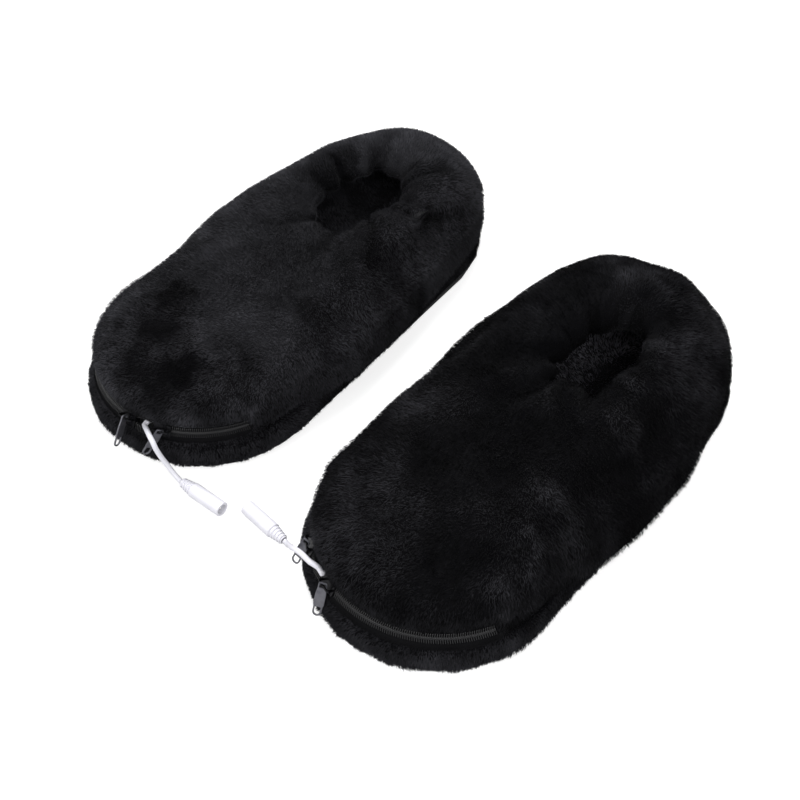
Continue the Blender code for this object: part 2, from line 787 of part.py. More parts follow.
def tape_line(side, start):
    """Radius and height of the tape's middle, from the row of teeth to its hem."""
    flat = UPPER_TAPE_FLAT if side > 0 else LOWER_TAPE_FLAT
    line = []
    for across in (start, flat):
        point = zip_point(0, side * across, 0)
        line.append(Vector((-point.y, point.z)))
    if side > 0:
        hem = TOE_RADIUS - UPPER_INSET - COVER_THICKNESS - TAPE_HEM_GAP - TAPE_THICKNESS
        bend = line[-1].y + UPPER_TAPE_BEND
        line += [Vector((hem, bend)), Vector((hem, bend + UPPER_TAPE_HEM))]
    else:
        facet = math.cos(ZIP_HALF_ANGLE / ZIP_STEPS)
        hem = (TOE_RADIUS - BAND_THICKNESS) * facet - SEAT - TAPE_THICKNESS / 2
        bend = line[-1].y - LOWER_TAPE_BEND
        line += [Vector((hem, bend)), Vector((hem, bend - LOWER_TAPE_HEM))]
    return line


def tape_angles(shoe):
    """Angles along a tape, closer together where its rows are parted."""
    start, end = shoe.sliders
    step = 2 * ZIP_HALF_ANGLE / TAPE_STEPS
    angles = []
    for first, last, steps in (
        (-ZIP_HALF_ANGLE, start, round((start + ZIP_HALF_ANGLE) / step)),
        (start, end, TAPE_STEPS_PARTED),
        (end, ZIP_HALF_ANGLE, round((ZIP_HALF_ANGLE - end) / step)),
    ):
        angles += [first + (last - first) * i / steps for i in range(steps)]
    return angles + [ZIP_HALF_ANGLE]


def zip_tape(shoe, side):
    """A woven tape from its row of teeth to its hem in the upper or in the sole."""
    sections = []
    for angle in tape_angles(shoe):
        line = tape_line(side, ROW_EDGE + SEAT + parting(shoe, angle))
        sections.append([on_toe(facing(angle) * p.x + Vector((0, 0, p.y))) for p in thick_line(line)])
    name = "zip_tape_upper" if side > 0 else "zip_tape_lower"
    place(shoe.name(name), lofted(sections), "tape", shoe.root)


def zip_block(corners, start, end):
    """A solid on the zip's arc, from corners across and out of its plane, between two places along it."""
    rings = []
    for along in (start, end):
        rings.append([zip_point(along / ZIP_RADIUS, across, out) for across, out in corners])
    return lofted(rings)


def zip_stops(shoe):
    """A stop crimped on each end of the chain."""
    w, n = STOP_WIDTH / 2, STOP_THICKNESS / 2
    corners = ((-w, -n), (-w, n), (w, n), (w, -n))
    start = (ZIP_HALF_ANGLE - ROW_END) * ZIP_RADIUS + SEAT
    for end, sign in (("inner", -1), ("outer", 1)):
        if shoe.side == "right":
            end = {"inner": "outer", "outer": "inner"}[end]
        data = zip_block(corners, sign * start, sign * (start + STOP_LENGTH))
        stop = place(shoe.name("zip_stop_" + end), data, "gunmetal", shoe.root)
        stop.location.y = TOE_CENTRE


def slider_plate(side, nose):
    """One plate of the slider, widening to its nose, with its long edges turned to the tape."""
    half = SLIDER_LENGTH / 2
    rings = []
    for along, room in ((-half, TAIL_ROOM), (0, WAIST_ROOM), (half, NOSE_ROOM)):
        wide = room + FLANGE
        profile = (
            (-wide, SLOT_HEIGHT / 2),
            (-wide, PLATE_OUTER),
            (wide, PLATE_OUTER),
            (wide, SLOT_HEIGHT / 2),
            (room, SLOT_HEIGHT / 2),
            (room, PLATE_INNER),
            (-room, PLATE_INNER),
            (-room, SLOT_HEIGHT / 2),
        )
        rings.append([zip_point(nose * along / ZIP_RADIUS, across, side * out) for across, out in profile])
    return lofted(rings)


def slider_post(nose):
    """The wedge that parts the rows at the slider's nose and holds its plates together."""
    depth = PLATE_INNER + PLATE_THICKNESS / 2
    half = SLIDER_LENGTH / 2
    rings = []
    for along, wide in ((half - POST_LENGTH, POST_ROOT), (half, POST_NOSE)):
        corners = ((-wide, -depth), (-wide, depth), (wide, depth), (wide, -depth))
        rings.append([zip_point(nose * along / ZIP_RADIUS, across, out) for across, out in corners])
    return lofted(rings)


def slider_bail():
    """The bridge over the slider that the pull tab hangs on."""
    half = BAIL_LENGTH / 2
    foot = PLATE_INNER + PLATE_THICKNESS / 2
    top = BAIL_AXIS + BAIL_THICKNESS / 2
    inner = half - BAIL_THICKNESS
    under = BAIL_AXIS - BAIL_THICKNESS / 2
    outline = (
        (-half, foot),
        (-half, top - BAIL_CORNER),
        (BAIL_CORNER - half, top),
        (half - BAIL_CORNER, top),
        (half, top - BAIL_CORNER),
        (half, foot),
        (inner, foot),
        (inner, under),
        (-inner, under),
        (-inner, foot),
    )
    rings = []
    for across in (-BAIL_THICKNESS / 2, BAIL_THICKNESS / 2):
        rings.append([zip_point(along / ZIP_RADIUS, across, out) for along, out in outline])
    return lofted(rings)


def zip_slider(shoe, index):
    """A slider on the toe's axis, its nose towards the gap where the cable comes out."""
    nose = 1 if index == 0 else -1
    data = fused((slider_plate(1, nose), slider_plate(-1, nose), slider_post(nose), slider_bail()))
    slider = place(shoe.name("zip_slider_" + str(index + 1)), data, "gunmetal", shoe.root)
    slider.location.y = TOE_CENTRE
    slider.rotation_euler.z = shoe.sliders[index]
    return slider


def tab_outlines():
    """The pull tab's outline, its eye and the opening of its loop, with the bail at the origin."""
    top = EYE_HEIGHT / 2 + EYE_RIM
    neck = EYE_WIDTH / 2 + EYE_RIM
    half = TAB_WIDTH / 2
    loop_centre = LOOP_RADIUS - TAB_LENGTH
    side = (
        (neck - EYE_RIM, top),
        (neck, top - EYE_RIM),
        (neck, -TAB_NECK),
        (half, -TAB_SHOULDER),
        (half, -PLATE_END),
        (LOOP_RADIUS, -PLATE_END - LOOP_NECK),
    )
    arc = [
        (LOOP_RADIUS * math.cos(math.pi * i / LOOP_STEPS), loop_centre - LOOP_RADIUS * math.sin(math.pi * i / LOOP_STEPS))
        for i in range(LOOP_STEPS + 1)
    ]
    outline = list(side) + arc + [(-x, y) for x, y in reversed(side)]
    eye = [(x * EYE_WIDTH / 2, y * EYE_HEIGHT / 2) for x, y in ((-1, -1), (-1, 1), (1, 1), (1, -1))]
    inside = LOOP_RADIUS - LOOP_WIRE
    hole = [(inside, -PLATE_END - LOOP_NECK), (-inside, -PLATE_END - LOOP_NECK)]
    for i in range(LOOP_STEPS + 1):
        angle = math.pi * (1 - i / LOOP_STEPS)
        hole.append((inside * math.cos(angle), loop_centre - inside * math.sin(angle)))
    return outline, eye, hole


def pull_tab(shoe, index, slider):
    """A pull tab on its slider's bail: leaning out over the sole, twisted and swayed to one side."""
    lean, twist, sway = (math.radians(angle) for angle in shoe.pulls[index])
    tab = place(shoe.name("pull_tab_" + str(index + 1)), plate(tab_outlines(), TAB_THICKNESS), "gunmetal", slider)
    up = Vector((0, math.sin(lean), math.cos(lean)))
    swing = Vector((1, 0, 0))
    face = swing * math.cos(twist) + up.cross(swing) * math.sin(twist)
    width = up.cross(face)
    turn = Matrix((width, up, width.cross(up))).transposed().to_4x4()
    swayed = Matrix.Rotation(sway, 4, up.cross(swing))
    tab.matrix_local = Matrix.Translation(zip_point(0, 0, BAIL_AXIS)) @ swayed @ turn


def lead_point(shoe, inward, below):
    """A place on the cable inside the shoe, by how far in and how far below the zip it lies."""
    return on_toe(facing(shoe.exit_angle) * (ZIP_RADIUS - inward) + Vector((0, 0, ZIP_HEIGHT - below)))


def heater_lead(shoe):
    """The cable inside the shoe, from the zip down over the sole to the heating wire's joint."""
    front, _ = joint_faces()
    height = PAD_BOTTOM + CABLE_RADIUS
    route = [lead_point(shoe, CABLE_STUB, 0)]
    route += [lead_point(shoe, *place_in) for place_in in (LEAD_DIP, LEAD_DROP, LEAD_FLOOR)]
    inner = lead_point(shoe, LEAD_STRAIGHT, 0)
    route.append(Vector((inner.x, inner.y, height)))
    route.append(Vector((0, front - LEAD_RUN_OUT, height)))
    route.append(Vector((0, front - SEAT, height)))
    points = [lead_point(shoe, SEAT / 2, 0)] + smooth_route(route, CABLE_STEP)
    place(shoe.name("heater_lead"), tube(points, CABLE_RADIUS, 2), "white_plastic", shoe.root)


def cable(shoe):
    """The cable outside the shoe, from between the zip's rows to the socket on the floor."""
    away = Vector((-math.cos(shoe.heading), -math.sin(shoe.heading), 0))
    socket = on_toe(Vector((*shoe.socket, SOCKET_HEIGHT)))
    route = [lead_point(shoe, -CABLE_STUB, 0)]
    route += [on_toe(Vector(point)) for point in shoe.route]
    route.append(socket + away * (SEAT + CABLE_STUB))
    points = [lead_point(shoe, -SEAT / 2, 0)] + smooth_route(route, CABLE_STEP) + [socket + away * SEAT]
    place(shoe.name("cable"), tube(points, CABLE_RADIUS, 2), "white_plastic", shoe.root)


def turned(profile, sides):
    """A solid turned about +X, from stations along it and their radii."""
    rings = []
    for along, radius in profile:
        angles = [2 * math.pi * (i + 0.5) / sides for i in range(sides)]
        rings.append([Vector((along, math.cos(a) * radius, math.sin(a) * radius)) for a in angles])
    return lofted(rings)


def socket(shoe):
    """The moulded socket on the cable's end: a ribbed relief, a smooth body and its contacts."""
    root = bpy.data.objects.new(shoe.name("socket"), None)
    bpy.context.scene.collection.objects.link(root)
    root.parent = shoe.root
    root.location = on_toe(Vector((*shoe.socket, SOCKET_HEIGHT)))
    root.rotation_euler.z = shoe.heading

    mouth = RELIEF_LENGTH + SOCKET_BODY
    bottom = mouth - SOCKET_DEPTH
    profile = []
    for i in range(RELIEF_RIBS):
        share = i / RELIEF_RIBS
        radius = RELIEF_START_RADIUS + (RELIEF_END_RADIUS - RELIEF_START_RADIUS) * share
        profile.append((RELIEF_LENGTH * share, radius))
        profile.append((RELIEF_LENGTH * (share + 0.5 / RELIEF_RIBS), radius + RELIEF_RIB))
    profile += [
        (RELIEF_LENGTH, RELIEF_END_RADIUS),
        (RELIEF_LENGTH, SOCKET_RADIUS - SOCKET_EDGE),
        (RELIEF_LENGTH + SOCKET_EDGE, SOCKET_RADIUS),
        (mouth - SOCKET_EDGE, SOCKET_RADIUS),
        (mouth, SOCKET_RADIUS - SOCKET_EDGE),
        (mouth, SOCKET_BORE),
        (bottom, SOCKET_BORE),
    ]
    data = smooth(turned(profile, SOCKET_SIDES), math.radians(35))
    place(shoe.name("socket_housing"), data, "white_plastic", root)

    start = bottom + SEAT
    face = start + INSULATOR_LENGTH
    sleeve = PIN_RADIUS + SEAT
    ring = SOCKET_BORE - SEAT
    core = [(start + SEAT, sleeve), (face, sleeve), (face, ring), (start, ring), (start, sleeve)]
    sections = []
    for i in range(SOCKET_SIDES):
        angle = 2 * math.pi * (i + 0.5) / SOCKET_SIDES
        sections.append([Vector((x, math.cos(angle) * r, math.sin(angle) * r)) for x, r in core[1:]])
    place(shoe.name("socket_insulator"), lofted(sections, looped=True), "white_plastic", root)

    pin = ((start, PIN_RADIUS), (start + PIN_LENGTH - PIN_TIP, PIN_RADIUS), (start + PIN_LENGTH, PIN_RADIUS - PIN_TIP))
    place(shoe.name("socket_pin"), smooth(turned(pin, SOCKET_SIDES // 2), math.radians(50)), "nickel", root)

    top = SOCKET_BORE * math.cos(math.pi / SOCKET_SIDES) - SEAT
    half = CONTACT_WIDTH / 2
    low = top - CONTACT_THICKNESS
    strip = ((-half, low), (half, low), (half, top), (-half, top))
    rings = []
    for along in (face + SEAT, face + SEAT + CONTACT_LENGTH):
        rings.append([Vector((along, y, z)) for y, z in strip])
    place(shoe.name("socket_contact"), lofted(rings), "nickel", root)


def build_shoe(shoe):
    outsole(shoe)
    sole_foam(shoe)
    sole_band(shoe)
    heater_pad(shoe)
    heating_wire(shoe)
    heater_joint(shoe)
    insole(shoe)
    upper_cover(shoe)
    upper_wadding(shoe)
    upper_lining(shoe)
    mouth_elastic(shoe)
    for side in (1, -1):
        zip_tape(shoe, side)
        zip_coil(shoe, side)
    zip_stops(shoe)
    for index in (0, 1):
        pull_tab(shoe, index, zip_slider(shoe, index))
    heater_lead(shoe)
    cable(shoe)
    socket(shoe)


clear_scene()
build_shoe(
    Shoe(
        side="right",
        place=RIGHT_PLACE,
        yaw=RIGHT_YAW,
        mouth=RIGHT_MOUTH,
        mouth_size=RIGHT_MOUTH_SIZE,
        sliders=(3.0, 22.5),
        exit_angle=12.5,
        pulls=((33, 2, 0), (23, -45, 28)),
        pleats=RIGHT_PLEATS,
        route=RIGHT_ROUTE,
        socket=RIGHT_SOCKET,
        heading=RIGHT_SOCKET_HEADING,
    )
)
build_shoe(
    Shoe(
        side="left",
        place=LEFT_PLACE,
        yaw=LEFT_YAW,
        mouth=LEFT_MOUTH,
        mouth_size=LEFT_MOUTH_SIZE,
        sliders=(-39.8, -16.4),
        exit_angle=-23.5,
        pulls=((23, -46, 0), (23, -46, -12)),
        pleats=LEFT_PLEATS,
        route=LEFT_ROUTE,
        socket=LEFT_SOCKET,
        heading=LEFT_SOCKET_HEADING,
    )
)
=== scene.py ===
# %% [markdown]
# # A pair of heated plush shoes
#
# The packed CAD model is loaded first, as a fixed frame in metres: +Z is up, the toes point to -Y, the
# wearer's right shoe is at -X. Everything here is a finish on that frame. Soft pieces get a denser and
# softer skin, hard pieces keep their shape and get rounded edges, and every surface gets its own material.

# %% The fixed frame
import math

import bmesh
import bpy
import numpy as np
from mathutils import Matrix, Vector


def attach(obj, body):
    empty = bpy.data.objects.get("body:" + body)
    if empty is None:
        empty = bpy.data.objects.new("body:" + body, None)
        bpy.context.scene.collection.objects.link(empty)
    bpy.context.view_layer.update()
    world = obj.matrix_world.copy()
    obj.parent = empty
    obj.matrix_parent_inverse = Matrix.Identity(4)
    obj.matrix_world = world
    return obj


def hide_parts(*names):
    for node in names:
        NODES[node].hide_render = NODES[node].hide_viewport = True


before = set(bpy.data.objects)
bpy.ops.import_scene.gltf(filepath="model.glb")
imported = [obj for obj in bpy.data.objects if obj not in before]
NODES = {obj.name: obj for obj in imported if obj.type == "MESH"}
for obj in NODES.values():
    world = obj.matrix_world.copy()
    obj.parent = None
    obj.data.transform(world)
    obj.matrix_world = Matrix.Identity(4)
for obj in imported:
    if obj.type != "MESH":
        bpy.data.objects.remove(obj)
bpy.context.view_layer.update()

# %% [markdown]
# ## Camera
#
# The shoes are seen from the front and the left, well above, through a lens a little longer than normal.
# The camera could be aimed with a constraint, but its direction follows from two angles, so it is set
# directly. A very small shift puts the pair where the picture has it.

# %% Camera
AZIMUTH, ELEVATION = 0.6958, 0.8356
EYE = (0.3081, -0.3755, 0.5281)
LENS, SENSOR = 54.0, 36.0
SHIFT = (0.00146, -0.0072)

camera = bpy.data.objects.new("camera", bpy.data.cameras.new("camera"))
bpy.context.scene.collection.objects.link(camera)
camera.location = EYE
camera.rotation_euler = (math.pi / 2 - ELEVATION, 0, AZIMUTH)
camera.data.lens, camera.data.sensor_width = LENS, SENSOR
camera.data.shift_x, camera.data.shift_y = SHIFT
camera.data.clip_start = 0.01
bpy.context.scene.camera = camera
print("camera at", EYE, "lens", LENS, "mm")

# %% [markdown]
# ## Sizes shared by both shoes
#
# The soft pieces are made again here from the same outline as the solids: a toe arc and a heel arc with
# straight sides. A curve along each column, from the sole to the mouth, gives the upper. With a formula a
# surface can be as dense as its finish needs, and it stays exactly where the frame has it.

# %% Sizes of the sole, the upper and the zip
MM = 0.001
SEAT = 0.0003
LENGTH, TOE_RADIUS, HEEL_RADIUS = 0.300, 0.072, 0.066
TOE_Y = TOE_RADIUS - LENGTH / 2
HEEL_Y = LENGTH / 2 - HEEL_RADIUS
QUARTER = math.pi / 2 + math.asin((TOE_RADIUS - HEEL_RADIUS) / (HEEL_Y - TOE_Y))
TOE_ARC = QUARTER * TOE_RADIUS
SIDE = math.sqrt((HEEL_Y - TOE_Y) ** 2 - (TOE_RADIUS - HEEL_RADIUS) ** 2)
HALF_ROUND = TOE_ARC + SIDE + (math.pi - QUARTER) * HEEL_RADIUS

SOLE_TOP, BAND_TOP, WALL_TOP = 0.0183, 0.0180, 0.0364
UPPER_INSET = 0.006
COVER, WADDING, LINING = 0.0030, 0.0024, 0.0030
LINING_DEPTH = COVER + WADDING + 2 * SEAT
UPPER_DEPTH = LINING_DEPTH + LINING
RISE, CROWN, CREST_SHARE, MOUTH_RISE, HEM = 0.0150, 0.0225, 0.44, 0.0035, 0.008

ZIP_HALF, ROW_END = math.radians(67.5), math.radians(2.0)
ZIP_RADIUS, ZIP_HEIGHT, ZIP_LEAN = 0.064, 0.0245, math.radians(30)
CABLE = 0.0015
SOCKET_Z = 0.0045 * math.cos(math.pi / 12)
print("a sole's outline is", round(2 * HALF_ROUND, 3), "m long")

# %% [markdown]
# The two shoes have the same build, but they lie differently: their mouths, folds, sliders and cables
# are not alike. A small class keeps what is unlike, and turns a point of a shoe into a point of the frame.


# %% What is unlike in the two shoes
class Shoe:
    """One shoe: where it stands, its mouth, pleats (bearing, half width, depth), sliders and cable."""

    def __init__(self, side, place, yaw, mouth, mouth_size, pleats, sliders, cable):
        self.side = side
        self.seed = 11 if side == "right" else 47
        self.place = np.array((*place, 0.0))
        self.yaw = math.radians(yaw)
        self.mouth = np.array((mouth[0], HEEL_Y - mouth[1], mouth[2]))
        self.mouth_size = mouth_size
        self.pleats = pleats
        self.sliders = [math.radians(a) for a in sliders]
        exit_angle, route, socket, heading = cable
        self.exit_angle = math.radians(exit_angle)
        self.route = np.array(route)
        self.socket = np.array((*socket, SOCKET_Z))
        self.heading = math.radians(heading)

    def name(self, piece):
        return self.side + "_" + piece

    def to_frame(self, points):
        """Points of the shoe, in the shared frame."""
        c, s = math.cos(self.yaw), math.sin(self.yaw)
        points = np.asarray(points, float)
        x = points[..., 0] * c - points[..., 1] * s
        y = points[..., 0] * s + points[..., 1] * c
        return np.stack((x, y, points[..., 2]), -1) + self.place

    def from_toe(self, points):
        """Points given from the toe's centre, in the shared frame."""
        return self.to_frame(np.asarray(points, float) + (0, TOE_Y, 0))


print("a shoe has", [word for word in vars(Shoe) if not word.startswith("_")])

# %% [markdown]
# Sizes are in metres and angles in degrees. A cable is its angle at the zip, its route, and the place and
# the heading of its socket, seen from the toe's centre.

# %% The right and the left shoe
RIGHT = Shoe(
    "right", place=(-0.0927, 0.0078), yaw=0.6, mouth=(0.009, 0.033, 0.0580), mouth_size=(0.037, 0.028),
    pleats=((62, 9, 0.0055), (103, 10, 0.0055), (139, 11, 0.0060),
            (180, 12, 0.0035), (224, 10, 0.0055), (300, 10, 0.0060)),
    sliders=(3.0, 22.5),
    cable=(
        12.5,
        ((0.0188, -0.0660, 0.0260), (0.0244, -0.0687, 0.0270), (0.0281, -0.0701, 0.0263),
         (0.0305, -0.0708, 0.0232), (0.0326, -0.0704, 0.0183), (0.0350, -0.0696, 0.0133),
         (0.0378, -0.0692, 0.0092), (0.0412, -0.0690, 0.0059)),
        (0.0455, -0.0690), 1,
    ),
)
LEFT = Shoe(
    "left", place=(0.0943, -0.0062), yaw=-1.8, mouth=(0.006, 0.037, 0.0665), mouth_size=(0.036, 0.0235),
    pleats=((40, 10, 0.0045), (76, 10, 0.0055), (128, 12, 0.0045),
            (171, 12, 0.0040), (226, 11, 0.0045), (285, 10, 0.0050)),
    sliders=(-39.8, -16.4),
    cable=(
        -23.5,
        ((-0.0296, -0.0584, 0.0250), (-0.0348, -0.0591, 0.0254), (-0.0418, -0.0584, 0.0254),
         (-0.0463, -0.0582, 0.0245), (-0.0508, -0.0568, 0.0202), (-0.0545, -0.0540, 0.0148),
         (-0.0584, -0.0519, 0.0096), (-0.0617, -0.0503, 0.0060)),
        (-0.0655, -0.0491), 176,
    ),
)
SHOES = (RIGHT, LEFT)
print("shoes at", [tuple(shoe.place[:2]) for shoe in SHOES])

# %% [markdown]
# ## Making a mesh from arrays
#
# Points and faces are worked out with numpy and handed to Blender in one go. The other way, adding
# vertices one by one, would take minutes for a pile of hundreds of thousands of fibres.


# %% Mesh and piece helpers
def mesh_of(name, points, faces, smooth=True):
    """A mesh from points (n, 3) and faces (m, k) with equally many corners."""
    data = bpy.data.meshes.new(name)
    count, corners = faces.shape
    data.vertices.add(len(points))
    data.vertices.foreach_set("co", np.ascontiguousarray(points, np.float32).ravel())
    data.loops.add(count * corners)
    data.loops.foreach_set("vertex_index", np.ascontiguousarray(faces, np.int32).ravel())
    data.polygons.add(count)
    data.polygons.foreach_set("loop_start", np.arange(count, dtype=np.int32) * corners)
    data.update(calc_edges=True)
    data.shade_smooth() if smooth else data.shade_flat()
    return data


def piece(name, data, finish, slot, replaces=(), body="pair"):
    """A finished piece: material, slot of the record (not used), the solids that it stands for, and its
    body.
    """
    ob = bpy.data.objects.new(name, data)
    bpy.context.scene.collection.objects.link(ob)
    for material in finish if isinstance(finish, (list, tuple)) else [finish]:
        data.materials.append(material)
    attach(ob, body)
    if replaces:
        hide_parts(*replaces)
    return ob


def grid_faces(rows, columns, around_rows=True, around_columns=True):
    """Quads over points laid out as [column][row], wrapping round either way."""
    i, j = np.meshgrid(
        np.arange(columns if around_columns else columns - 1),
        np.arange(rows if around_rows else rows - 1),
        indexing="ij",
    )
    here, beside = i * rows, (i + 1) % columns * rows
    above = (j + 1) % rows
    return np.stack((here + j, beside + j, beside + above, here + above), -1).reshape(-1, 4)


def built(shoe, label, points, faces, finish, slot, *nodes):
    """A piece of a shoe, from points in the frame, in place of its solids."""
    name = shoe.name(label)
    data = mesh_of(name, points.reshape(-1, 3), faces)
    return piece(name, data, finish, slot, [shoe.name(node) for node in nodes])


def closed_skin(shoe, label, loop, finish, slot, node):
    """A piece from a shoe's points [column][row] that close round both ways."""
    faces = grid_faces(loop.shape[1], len(loop))[:, ::-1]
    return built(shoe, label, shoe.to_frame(loop), faces, finish, slot, node)


print("a closed grid of 3 x 4 points has", len(grid_faces(3, 4)), "faces")

# %% [markdown]
# ## Steady noise
#
# Folds, tufts and the lie of the pile need randomness that is the same in every run. Value noise on a
# lattice of hashed numbers gives that, and works on whole arrays at once.


# %% Noise and clumps
def lattice(cells, seed):
    """A steady number from 0 to 1 for every cell of a lattice."""
    n = cells.astype(np.int64)
    h = n[..., 0] * 73856093 ^ n[..., 1] * 19349663 ^ n[..., 2] * 83492791 ^ seed * 40503
    h = (h ^ (h >> 15)) * 2246822519 & 0xFFFFFFFF
    h = (h ^ (h >> 13)) * 3266489917 & 0xFFFFFFFF
    return ((h ^ (h >> 16)) & 0xFFFFFF) / 0xFFFFFF


def noise(points, size, seed):
    """Soft noise from -1 to 1 with features of a size."""
    q = points / size
    cell = np.floor(q)
    f = q - cell
    f = f * f * (3 - 2 * f)
    total = 0
    for corner in np.ndindex(2, 2, 2):
        weight = 1
        for axis, high in enumerate(corner):
            weight = weight * (f[..., axis] if high else 1 - f[..., axis])
        total = total + weight * lattice(cell + corner, seed)
    return total * 2 - 1


def noises(points, seed, *layers):
    """A sum of noises, each given by its share, its size and what it adds to the seed."""
    return sum(share * noise(points, size, seed + k) for share, size, k in layers)


def clump_centres(points, size, seed):
    """The nearest of scattered centres, one in every cell."""
    cell = np.floor(points / size)
    best = np.full(points.shape[:-1], np.inf)
    found = np.zeros_like(points)
    for offset in np.ndindex(3, 3, 3):
        near = cell + np.array(offset) - 1
        spot = (near + np.stack([lattice(near, seed + k) for k in range(3)], -1)) * size
        away = ((spot - points) ** 2).sum(-1)
        closer = away < best
        best = np.where(closer, away, best)
        found = np.where(closer[..., None], spot, found)
    return found


sample = noise(np.random.default_rng(1).random((2000, 3)), 0.1, 3)
print("noise runs from", round(float(sample.min()), 2), "to", round(float(sample.max()), 2))

# %% [markdown]
# A few more functions of form are used all over: a soft step, the turn between two bearings, vectors of
# length one, and the normals of a grid of points.


# %% Functions of form
def smoothstep(x):
    """0 below 0, 1 above 1, and a soft S between."""
    x = np.clip(x, 0, 1)
    return x * x * (3 - 2 * x)


def turned_off(degrees, at):
    """Degrees from one bearing to another, the short way."""
    return (degrees - at + 180) % 360 - 180


def unit(vectors):
    return vectors / (np.linalg.norm(vectors, axis=-1, keepdims=True) + 1e-12)


def normals_of(points):
    """Normals of a closed-round grid [column][row], outwards."""
    across = np.roll(points, -1, 0) - np.roll(points, 1, 0)
    return unit(np.cross(across, np.gradient(points, axis=1)))


print("from 10 to 350 degrees is a turn of", turned_off(350, 10))

# %% [markdown]
# ## The outline and the upper's curves
#
# Every column of the upper starts on the sole's outline, stands up as a wall, bows over the foot on a
# Bezier curve and ends at the mouth. The same curve at another depth gives the lining, so the layers nest.


# %% Outline
NOT_TOE = 9.0


def outline(shares, inset):
    """Points, outward directions and angles about the toe, at shares of the way round from the toe."""
    s = (np.asarray(shares) % 1.0) * 2 * HALF_ROUND
    mirrored = s > HALF_ROUND
    s = np.where(mirrored, 2 * HALF_ROUND - s, s)
    heel_angle = QUARTER + (s - TOE_ARC - SIDE) / HEEL_RADIUS
    angle = np.where(s < TOE_ARC, s / TOE_RADIUS, np.where(s < TOE_ARC + SIDE, QUARTER, heel_angle))
    along = np.clip((s - TOE_ARC) / SIDE, 0, 1)
    radius = TOE_RADIUS - inset + (HEEL_RADIUS - TOE_RADIUS) * along
    sign = np.where(mirrored, -1.0, 1.0)
    out = np.stack((sign * np.sin(angle), -np.cos(angle), np.zeros_like(angle)), -1)
    points = out * radius[..., None]
    points[..., 1] += TOE_Y + (HEEL_Y - TOE_Y) * along
    toe_angle = np.where(s < TOE_ARC, sign * s / TOE_RADIUS, sign * NOT_TOE)
    return points, out, toe_angle


def around_of(count):
    """How far each column is from the middle of the toe, along the outline."""
    i = np.arange(count)
    return np.minimum(i, count - i) / count * 2 * HALF_ROUND


print("heel of the outline:", np.round(outline(np.array([0.5]), 0)[0][0], 4))

# %% [markdown]
# A column's curve has four control points: the wall's top, a handle above it, one behind the crest and
# the mouth's rim. Each has its own way to shift for a layer further in. The gathers are pleats by bearing.


# %% Columns of the upper
class Columns:
    """The columns of one shoe's upper, all worked out at once."""

    def __init__(self, shoe, count):
        self.shoe = shoe
        self.count = count
        self.base, self.out, self.toe_angle = outline(np.arange(count) / count, UPPER_INSET)
        away = self.base - shoe.mouth
        self.bearing = np.arctan2(away[:, 0], -away[:, 1])
        outward = np.stack((np.sin(self.bearing), -np.cos(self.bearing), np.zeros(count)), -1)
        long, wide = shoe.mouth_size
        reach = long * wide / np.hypot(np.sin(self.bearing) * long, np.cos(self.bearing) * wide)
        mouth = shoe.mouth + outward * reach[:, None]
        mouth[:, 2] -= MOUTH_RISE * reach / long * np.cos(self.bearing)
        base = self.base + (0, 0, WALL_TOP)
        span = np.linalg.norm((base - mouth)[:, :2], axis=1)
        crest = mouth + outward * (span * CREST_SHARE)[:, None] + (0, 0, CROWN)
        self.controls = (base, base + (0, 0, RISE), crest, mouth)
        along = mouth - crest
        self.handle = np.linalg.norm(along, axis=1)
        self.along = along / self.handle[:, None]
        down = outward * -self.along[:, 2:3]
        down = down + np.array((0, 0, 1.0)) * (self.along * outward).sum(1)[:, None]
        down /= np.linalg.norm(down, axis=1)[:, None]
        down = np.where(down[:, 2:3] < 0, down, -down)
        inward = -self.out
        self.shifts = (inward, inward - (0, 0, 0.5), down + self.along * 0.5, down)
        degrees = np.degrees(self.bearing) % 360
        self.pleat = sum(
            depth * np.exp(-((turned_off(degrees, at) / half) ** 2)) for at, half, depth in shoe.pleats
        )

    def loosen(self, share):
        """Makes the gathers of the finish shallower than the solids'."""
        self.pleat = self.pleat * share
        return self

    def curve(self, controls, t):
        a, b, c, d = (control[:, None] for control in controls)
        t = t[..., None]
        s = 1 - t
        return a * s**3 + b * 3 * s * s * t + c * 3 * s * t * t + d * t**3

    def surface(self, t, depth):
        """Points [column][row] at shares t up the columns and at a depth below the outer face."""
        t = np.asarray(t, float)
        rows = np.broadcast_to(t if t.ndim == 2 else t[None], (self.count, t.shape[-1]))
        deep = depth + self.pleat[:, None] * rows**2
        return self.curve(self.controls, rows) + self.curve(self.shifts, rows) * deep[..., None]

    def wall(self, rows, foot, depth):
        """Points from a foot height up to the wall's top."""
        flat = outline(np.arange(self.count) / self.count, UPPER_INSET + depth)[0]
        points = np.repeat(flat[:, None], rows, 1)
        rise = np.linspace(0, 1, rows + 1)[:-1]
        points[..., 2] = foot[:, None] + (WALL_TOP - foot)[:, None] * rise
        return points

    def lip(self, radius, turns):
        """The rolled rim, turned from the outer face round to the inner one."""
        middle = self.surface(np.ones(1), UPPER_DEPTH / 2)
        turns = np.asarray(turns)[None, :, None]
        turned = self.along[:, None] * np.sin(turns) - self.shifts[3][:, None] * np.cos(turns)
        return middle + radius * turned

    def hem(self, length):
        return 1 - length / (3 * self.handle)

    def foot(self, above, last, closes=3.0):
        """Height of a layer's lower edge: on the sole, and higher over the zip, up to a last angle."""
        inside = math.radians(last) - np.abs(self.toe_angle)
        return SOLE_TOP + above * smoothstep(inside / math.radians(closes))


columns = Columns(RIGHT, 12)
print("right mouth's rim, front:", np.round(columns.surface(np.ones(1), 0)[0, 0], 4))

# %% [markdown]
# ## Finishes: groups that several materials share
#
# An effect that more than one material needs is a node group with named inputs: patches of tone, and a
# weave. The shader itself stays in each material.


